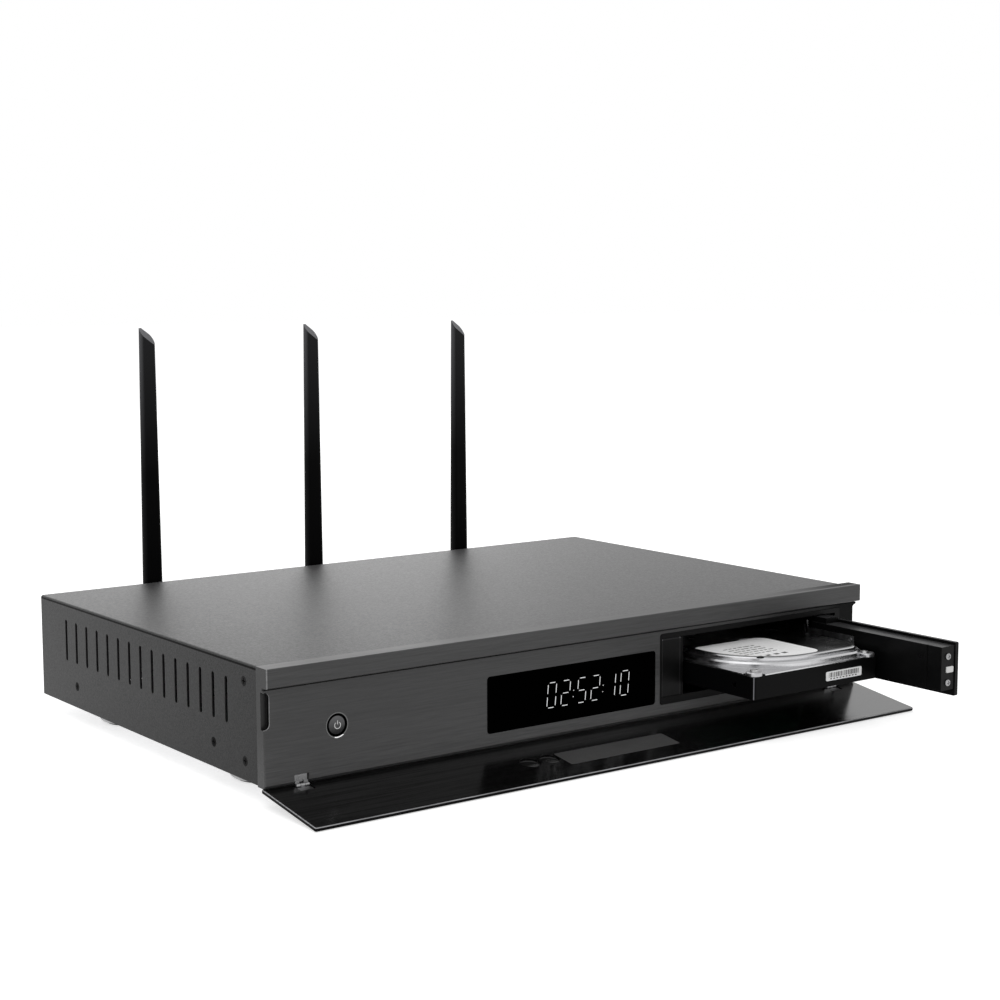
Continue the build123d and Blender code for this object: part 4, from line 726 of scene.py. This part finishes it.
class PLAYER_OT_power_mark(bpy.types.Operator):
    """Print the ring-and-bar sign on the power button"""

    bl_idname = "player.power_mark"
    bl_label = "Power sign"

    def execute(self, context):
        low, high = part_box("power_button")
        centre = (low + high) / 2
        radius = 2.0 * MM
        line = 0.42 * MM
        bar_base = 0.5 * MM
        bar_height = 2.0 * MM
        sunk = 0.02 * MM
        steps = 28
        opening = math.radians(38)
        span = (2 * math.pi - 2 * opening) / steps
        sheet = Sheet(Vector((centre.x, low.y + sunk, centre.z)), RIGHT, UP, 0.06 * MM)
        for i in range(steps):
            a = math.pi / 2 + opening + span * i
            b = a + span
            corners = [(radius, a), (radius, b), (radius - line, b), (radius - line, a)]
            sheet.plate([(math.cos(t) * r, math.sin(t) * r) for r, t in reversed(corners)])
        sheet.plate(rectangle(-line / 2, bar_base, line, bar_height))
        ink = printed("sign_ink", grey(0.85))
        sheet.piece("power_sign", ink, "power_button", "label_stock")
        return {"FINISHED"}


class PLAYER_OT_rack(bpy.types.Operator):
    """Finish the rack, its door and what the door carries"""

    bl_idname = "player.rack"
    bl_label = "Rack and door"

    def execute(self, context):
        moulding = context.scene.player_colours.moulding
        rack = moulded("rack_plastic", moulding, roughness=0.42, specular=0.11)
        dress(rack, "rack_bezel", "rack_rails")
        self.key(moulding)
        door = moulded("door_plastic", moulding, roughness=0.32, specular=0.10)
        # painted light: the door's upward faces are lightened
        turned_up = door.along("Z", 0.8, 0.95, facing=True)
        door.shade(turned_up, 12.0)
        dress(door, "rack_door_face", "rack_door_box")
        dress(moulded("plug_plastic", grey(0.01), roughness=0.4), "rack_plug", "drive_socket")
        dress(sheet_metal("cage_zinc", (0.04, 0.04, 0.041), roughness=0.35), "rack_cage")
        steel = sheet_metal("bright_steel", (0.30, 0.30, 0.305), roughness=0.24)
        dress(steel, "rack_door_pin", "rack_door_screws")
        strap = sheet_metal("strap_steel", (0.18, 0.18, 0.185), roughness=0.3, spread=0.3)
        dress(strap, "rack_door_strap")
        dress(moulded("latch_white", (0.8, 0.8, 0.79), roughness=0.35), "rack_door_latch")
        return {"FINISHED"}

    def key(self, colour):
        """The release key, with painted highlights in thin lines along its top, its left edge and near
        its right one.
        """
        plastic = moulded("key_plastic", colour, roughness=0.38, specular=0.13)
        low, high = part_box("release_key")
        # painted highlights in thin lines at the key's edges
        for line in (
            plastic.within("X", high.x - 1.5 * MM, high.x - 1.0 * MM),
            plastic.within("Z", high.z - 0.8 * MM, high.z),
            plastic.within("X", low.x, low.x + 0.4 * MM),
        ):
            plastic.shade(line, 9.0)
        dress(plastic, "release_key")


class PLAYER_OT_drive(bpy.types.Operator):
    """Finish the hard drive and print its two labels with bars and rules only"""

    bl_idname = "player.drive"
    bl_label = "Hard drive"

    def execute(self, context):
        self.casting()
        self.lid(context.scene.player_colours.lid)
        dress(sheet_metal("drive_screw_steel", grey(0.6), roughness=0.25), "drive_screws")
        dress(printed("label_paper", grey(0.95)), "drive_labels")
        dress(circuit_board("drive_mask", (0.01, 0.05, 0.03)), "drive_board")
        ink = printed("label_ink", grey(0.05))
        self.lid_print(ink)
        self.end_print(ink)
        return {"FINISHED"}

    def casting(self):
        """The casting: black paint low down with a painted highlight down its near corner, and bare
        metal above.
        """
        black = (0.0025, 0.0025, 0.0027)
        paint = Finish("drive_casting_paint", black, roughness=0.34, specular=0.045)
        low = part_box("drive_casting")[0]
        paint.soft_edge(0.3 * MM)
        paint.split("Z", low.z + PAINTED_HEIGHT, above=(0.42, 0.42, 0.43))
        # painted highlight down the near vertical corner of the painted part
        near_corner_highlight = paint.both(
            paint.within("X", low.x, low.x + 0.8 * MM),
            paint.within("Y", low.y, low.y + 0.8 * MM),
            paint.within("Z", low.z, low.z + PAINTED_HEIGHT - 0.1 * MM),
        )
        paint.shade(near_corner_highlight, 90.0)
        paint.bump(paint.noise((800, 800, 800)), depth=0.012 * MM, strength=0.5)
        dress(paint, "drive_casting")

    def lid(self, colour):
        """The pressed lid, with painted shade on its raised top."""
        metal = sheet_metal("drive_lid_metal", colour, roughness=0.2, spread=0.04, depth=0.004)
        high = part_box("drive_lid")[1]
        # painted shade: the lid's raised top is darkened
        raised_top_shade = metal.along("Z", high.z - 0.6 * MM, high.z - 0.3 * MM)
        metal.shade(raised_top_shade, 0.25)
        dress(metal, "drive_lid")

    def lid_print(self, ink):
        """Rules and blocks in the places of a drive label's small print."""
        low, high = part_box("drive_labels")
        draw = random.Random(7)
        rows, first_row, row_pitch = 5, 24.0 * MM, 4.6 * MM
        left, right, rule = 9.0 * MM, 34.0 * MM, 1.1 * MM
        blocks, first_block, block_pitch = 4, 12.0 * MM, 6.5 * MM
        block_y, block_width, block_height = 15.0 * MM, 3.6 * MM, 3.0 * MM
        sheet = Sheet(Vector((low.x, low.y, high.z)), RIGHT, BACK, INK)
        for row in range(rows):
            x = left
            while x < right:
                width = draw.uniform(2.0, 6.0) * MM
                sheet.plate(rectangle(x, first_row + row * row_pitch, width, rule))
                x += width + rule
        for index in range(blocks):
            x = first_block + index * block_pitch
            sheet.plate(rectangle(x, block_y, block_width, block_height))
        sheet.piece("drive_lid_print", ink, "drive", "label_stock")

    def end_print(self, ink):
        """A row of bars on the label at the drive's front end, with short rules below."""
        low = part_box("drive_labels")[0]
        casting_low, casting_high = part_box("drive_casting")
        centre_x = (casting_low.x + casting_high.x) / 2 + 22.5 * MM
        draw = random.Random(3)
        left, right = -12.6 * MM, 12.4 * MM
        bar_base, bar_height = -0.9 * MM, 2.9 * MM
        rules, first_rule, rule_pitch = 9, -11.5 * MM, 2.6 * MM
        rule_base, rule_width, rule_height = -2.0 * MM, 1.5 * MM, 0.6 * MM
        sheet = Sheet(Vector((centre_x, low.y, casting_low.z + 6.2 * MM)), RIGHT, UP, INK)
        x = left
        while x < right:
            width = draw.choice((0.28, 0.28, 0.5, 0.75)) * MM
            sheet.plate(rectangle(x, bar_base, width, bar_height))
            x += width + draw.choice((0.3, 0.42, 0.62)) * MM
        for index in range(rules):
            x = first_rule + index * rule_pitch
            sheet.plate(rectangle(x, rule_base, rule_width, rule_height))
        sheet.piece("drive_end_print", ink, "drive", "label_stock")


class PLAYER_OT_aerials(bpy.types.Operator):
    """Finish the three aerials"""

    bl_idname = "player.aerials"
    bl_label = "Aerials"

    def execute(self, context):
        plastic = moulded(
            "aerial_plastic", (0.002, 0.002, 0.0021), roughness=0.38, specular=0.035, grain=0.02,
        )
        # painted light: faces turned to the left and to the right are lightened
        turned_left = plastic.along("X", -0.3, -0.9, facing=True)
        plastic.shade(turned_left, 4.0)
        right_side_light = plastic.along("X", 0.5, 0.9, facing=True)
        plastic.shade(right_side_light, 5.0)
        # painted highlight on the blades' cut tips
        tip_highlight = plastic.along("Z", 0.35, 0.6, facing=True)
        plastic.shade(tip_highlight, 8.0)
        # painted light: the blades are lighter towards their top
        low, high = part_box("aerial_1_blade")
        upper_half_light = plastic.along("Z", (low.z + high.z) / 2, high.z)
        plastic.shade(upper_half_light, 12.0)
        for number in (1, 2, 3):
            dress(plastic, f"aerial_{number}_base", f"aerial_{number}_blade")
        return {"FINISHED"}


class PLAYER_OT_inside(bpy.types.Operator):
    """Finish the boards and what stands on them"""

    bl_idname = "player.inside"
    bl_label = "Inside"

    def execute(self, context):
        board = circuit_board("board_mask", (0.012, 0.06, 0.035))
        dress(board, "main_board", "power_board", "display_board", "button_board", "rack_backplane")
        dress(sheet_metal("sink_metal", (0.45, 0.45, 0.46), roughness=0.35), "heat_sink")
        dress(sheet_metal("standoff_steel", grey(0.55), roughness=0.3), "board_fixings")
        dress(polished("core_black", grey(0.02), roughness=0.4), "transformer", "display_tube")
        dress(polished("can_sleeve", (0.015, 0.015, 0.03), roughness=0.25), "capacitors")
        dress(moulded("ribbon_grey", (0.55, 0.55, 0.53), roughness=0.5), "display_ribbon")
        return {"FINISHED"}


class PLAYER_OT_rear(bpy.types.Operator):
    """Finish the connectors on the back"""

    bl_idname = "player.rear"
    bl_label = "Connectors"

    def execute(self, context):
        shells = self.plated_metal("shell_metal", grey(0.7), 0.22)
        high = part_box("data_sockets")[1]
        # painted shade: the sockets' insides are darkened
        inside_shade = shells.along("Y", high.y - 0.5 * MM, high.y - 1.5 * MM)
        shells.shade(inside_shade, 0.04)
        dress(shells, "data_sockets")
        plastic = moulded("connector_plastic", grey(0.012), roughness=0.4)
        dress(plastic, "optical_socket", "mains_inlet", "rocker_frame")
        dress(moulded("rocker_plastic", grey(0.01), roughness=0.22), "rocker_switch")
        gilt = self.plated_metal("plated", (0.83, 0.62, 0.28), 0.18)
        dress(gilt, "audio_jacks", "aerial_jacks")
        dress(self.plated_metal("blade_metal", (0.75, 0.72, 0.66), 0.2), "inlet_blades")
        return {"FINISHED"}

    def plated_metal(self, name, colour, roughness):
        return polished(name, colour, roughness, specular=0.5, metallic=1.0)


def swap_when_seen(tree, as_light, seen):
    """One shader for rays that see it directly or mirrored, and another for all other rays."""
    path = tree.nodes.new("ShaderNodeLightPath")
    sight = path.outputs["Is Camera Ray"]
    for name in ("Is Glossy Ray", "Is Transmission Ray"):
        larger = tree.nodes.new("ShaderNodeMath")
        larger.operation = "MAXIMUM"
        tree.links.new(sight, larger.inputs[0])
        tree.links.new(path.outputs[name], larger.inputs[1])
        sight = larger.outputs["Value"]
    mix = tree.nodes.new("ShaderNodeMixShader")
    tree.links.new(sight, mix.inputs["Fac"])
    tree.links.new(as_light, mix.inputs[1])
    tree.links.new(seen, mix.inputs[2])
    return mix.outputs["Shader"]


class PLAYER_OT_studio(bpy.types.Operator):
    """Set the floor, lamps, surroundings and camera"""

    bl_idname = "player.studio"
    bl_label = "Studio"

    def execute(self, context):
        scene = context.scene
        studio = scene.player_studio
        self.floor(scene)
        self.surroundings(scene, studio.room)
        self.lamp(scene, "key_lamp", studio.key, (-0.9, -0.5, 1.7), (0, 0.02, 0.04), size=1.5)
        self.lamp(scene, "back_lamp", studio.rim, (0.6, 1.9, 1.2), (0, 0, 0.05), size=1.6)
        self.camera(scene, studio)
        scene.view_settings.view_transform = "Standard"
        return {"FINISHED"}

    def floor(self, scene):
        """A large pale floor: white to the camera, with the object's soft shadow."""
        outline = rectangle(-FLOOR_SIZE / 2, -FLOOR_SIZE / 2, FLOOR_SIZE, FLOOR_SIZE)
        mesh = bpy.data.meshes.new("floor")
        mesh.from_pydata([(x, y, 0) for x, y in outline], [], [(0, 1, 2, 3)])
        floor = bpy.data.objects.new("floor", mesh)
        floor.location.z = cad_box[0].z - 0.1 * MM
        scene.collection.objects.link(floor)
        material = bpy.data.materials.new("floor_white")
        material.use_nodes = True
        tree = material.node_tree
        tree.nodes.clear()
        diffuse = tree.nodes.new("ShaderNodeBsdfDiffuse")
        diffuse.inputs["Color"].default_value = (*grey(0.8), 1.0)
        glow = tree.nodes.new("ShaderNodeEmission")
        glow.inputs["Strength"].default_value = 0.62
        total = tree.nodes.new("ShaderNodeAddShader")
        tree.links.new(diffuse.outputs["BSDF"], total.inputs[0])
        tree.links.new(glow.outputs["Emission"], total.inputs[1])
        surface = swap_when_seen(tree, diffuse.outputs["BSDF"], total.outputs["Shader"])
        output = tree.nodes.new("ShaderNodeOutputMaterial")
        tree.links.new(surface, output.inputs["Surface"])
        mesh.materials.append(material)

    def surroundings(self, scene, strength):
        """White where it is seen or mirrored, and softer as a light."""
        world = bpy.data.worlds.new("surroundings")
        world.use_nodes = True
        scene.world = world
        tree = world.node_tree
        tree.nodes.clear()
        backgrounds = []
        for level in (strength, 1.0):
            node = tree.nodes.new("ShaderNodeBackground")
            node.inputs["Color"].default_value = (*grey(1.0), 1.0)
            node.inputs["Strength"].default_value = level
            backgrounds.append(node.outputs["Background"])
        output = tree.nodes.new("ShaderNodeOutputWorld")
        tree.links.new(swap_when_seen(tree, *backgrounds), output.inputs["Surface"])

    def lamp(self, scene, name, power, place, target, size):
        light = bpy.data.lights.new(name, "AREA")
        light.size = size
        light.energy = power
        lamp = bpy.data.objects.new(name, light)
        lamp.location = place
        aim = Vector(target) - Vector(place)
        lamp.rotation_euler = aim.to_track_quat("-Z", "Y").to_euler()
        scene.collection.objects.link(lamp)

    def camera(self, scene, studio):
        """The camera, in the photo's place and direction."""
        data = bpy.data.cameras.new("camera")
        data.sensor_width = SENSOR_WIDTH
        data.lens = studio.lens
        data.clip_end = 50.0
        camera = bpy.data.objects.new("camera", data)
        yaw, pitch, roll = studio.yaw, studio.pitch, studio.roll
        forward = Vector((
            math.sin(yaw) * math.cos(pitch), math.cos(yaw) * math.cos(pitch), math.sin(pitch),
        ))
        level = Vector((math.cos(yaw), -math.sin(yaw), 0))
        above = level.cross(forward)
        right = level * math.cos(roll) + above * math.sin(roll)
        up = above * math.cos(roll) - level * math.sin(roll)
        turn = Matrix((right, up, -forward)).transposed().to_4x4()
        panel_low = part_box("front_panel")[0]
        stand = Vector((panel_low.x, panel_low.y, cad_box[0].z)) + CAMERA_FROM_CORNER
        camera.matrix_world = Matrix.Translation(stand) @ turn
        scene.collection.objects.link(camera)
        scene.camera = camera


OPERATORS = (
    PLAYER_OT_case, PLAYER_OT_front, PLAYER_OT_display, PLAYER_OT_power_mark, PLAYER_OT_rack,
    PLAYER_OT_drive, PLAYER_OT_aerials, PLAYER_OT_inside, PLAYER_OT_rear, PLAYER_OT_studio,
)


class PLAYER_PT_panel(bpy.types.Panel):
    """Lists the steps and their settings in the sidebar"""

    bl_idname = "PLAYER_PT_panel"
    bl_label = "Media Player"
    bl_space_type = "VIEW_3D"
    bl_region_type = "UI"
    bl_category = "Player"

    def draw(self, context):
        for step in OPERATORS:
            self.layout.operator(step.bl_idname)
        scene = context.scene
        for group in (scene.player_colours, scene.player_display, scene.player_studio):
            for name in group.__annotations__:
                self.layout.prop(group, name)


CLASSES = (PlayerColours, PlayerDisplay, PlayerStudio, *OPERATORS, PLAYER_PT_panel)


def register():
    for entry in CLASSES:
        bpy.utils.register_class(entry)
    bpy.types.Scene.player_colours = PointerProperty(type=PlayerColours)
    bpy.types.Scene.player_display = PointerProperty(type=PlayerDisplay)
    bpy.types.Scene.player_studio = PointerProperty(type=PlayerStudio)


def unregister():
    del bpy.types.Scene.player_studio
    del bpy.types.Scene.player_display
    del bpy.types.Scene.player_colours
    for entry in reversed(CLASSES):
        bpy.utils.unregister_class(entry)


def main():
    register()
    for step in OPERATORS:
        group, action = step.bl_idname.split(".")
        getattr(getattr(bpy.ops, group), action)()


if __name__ == "__main__":
    main()
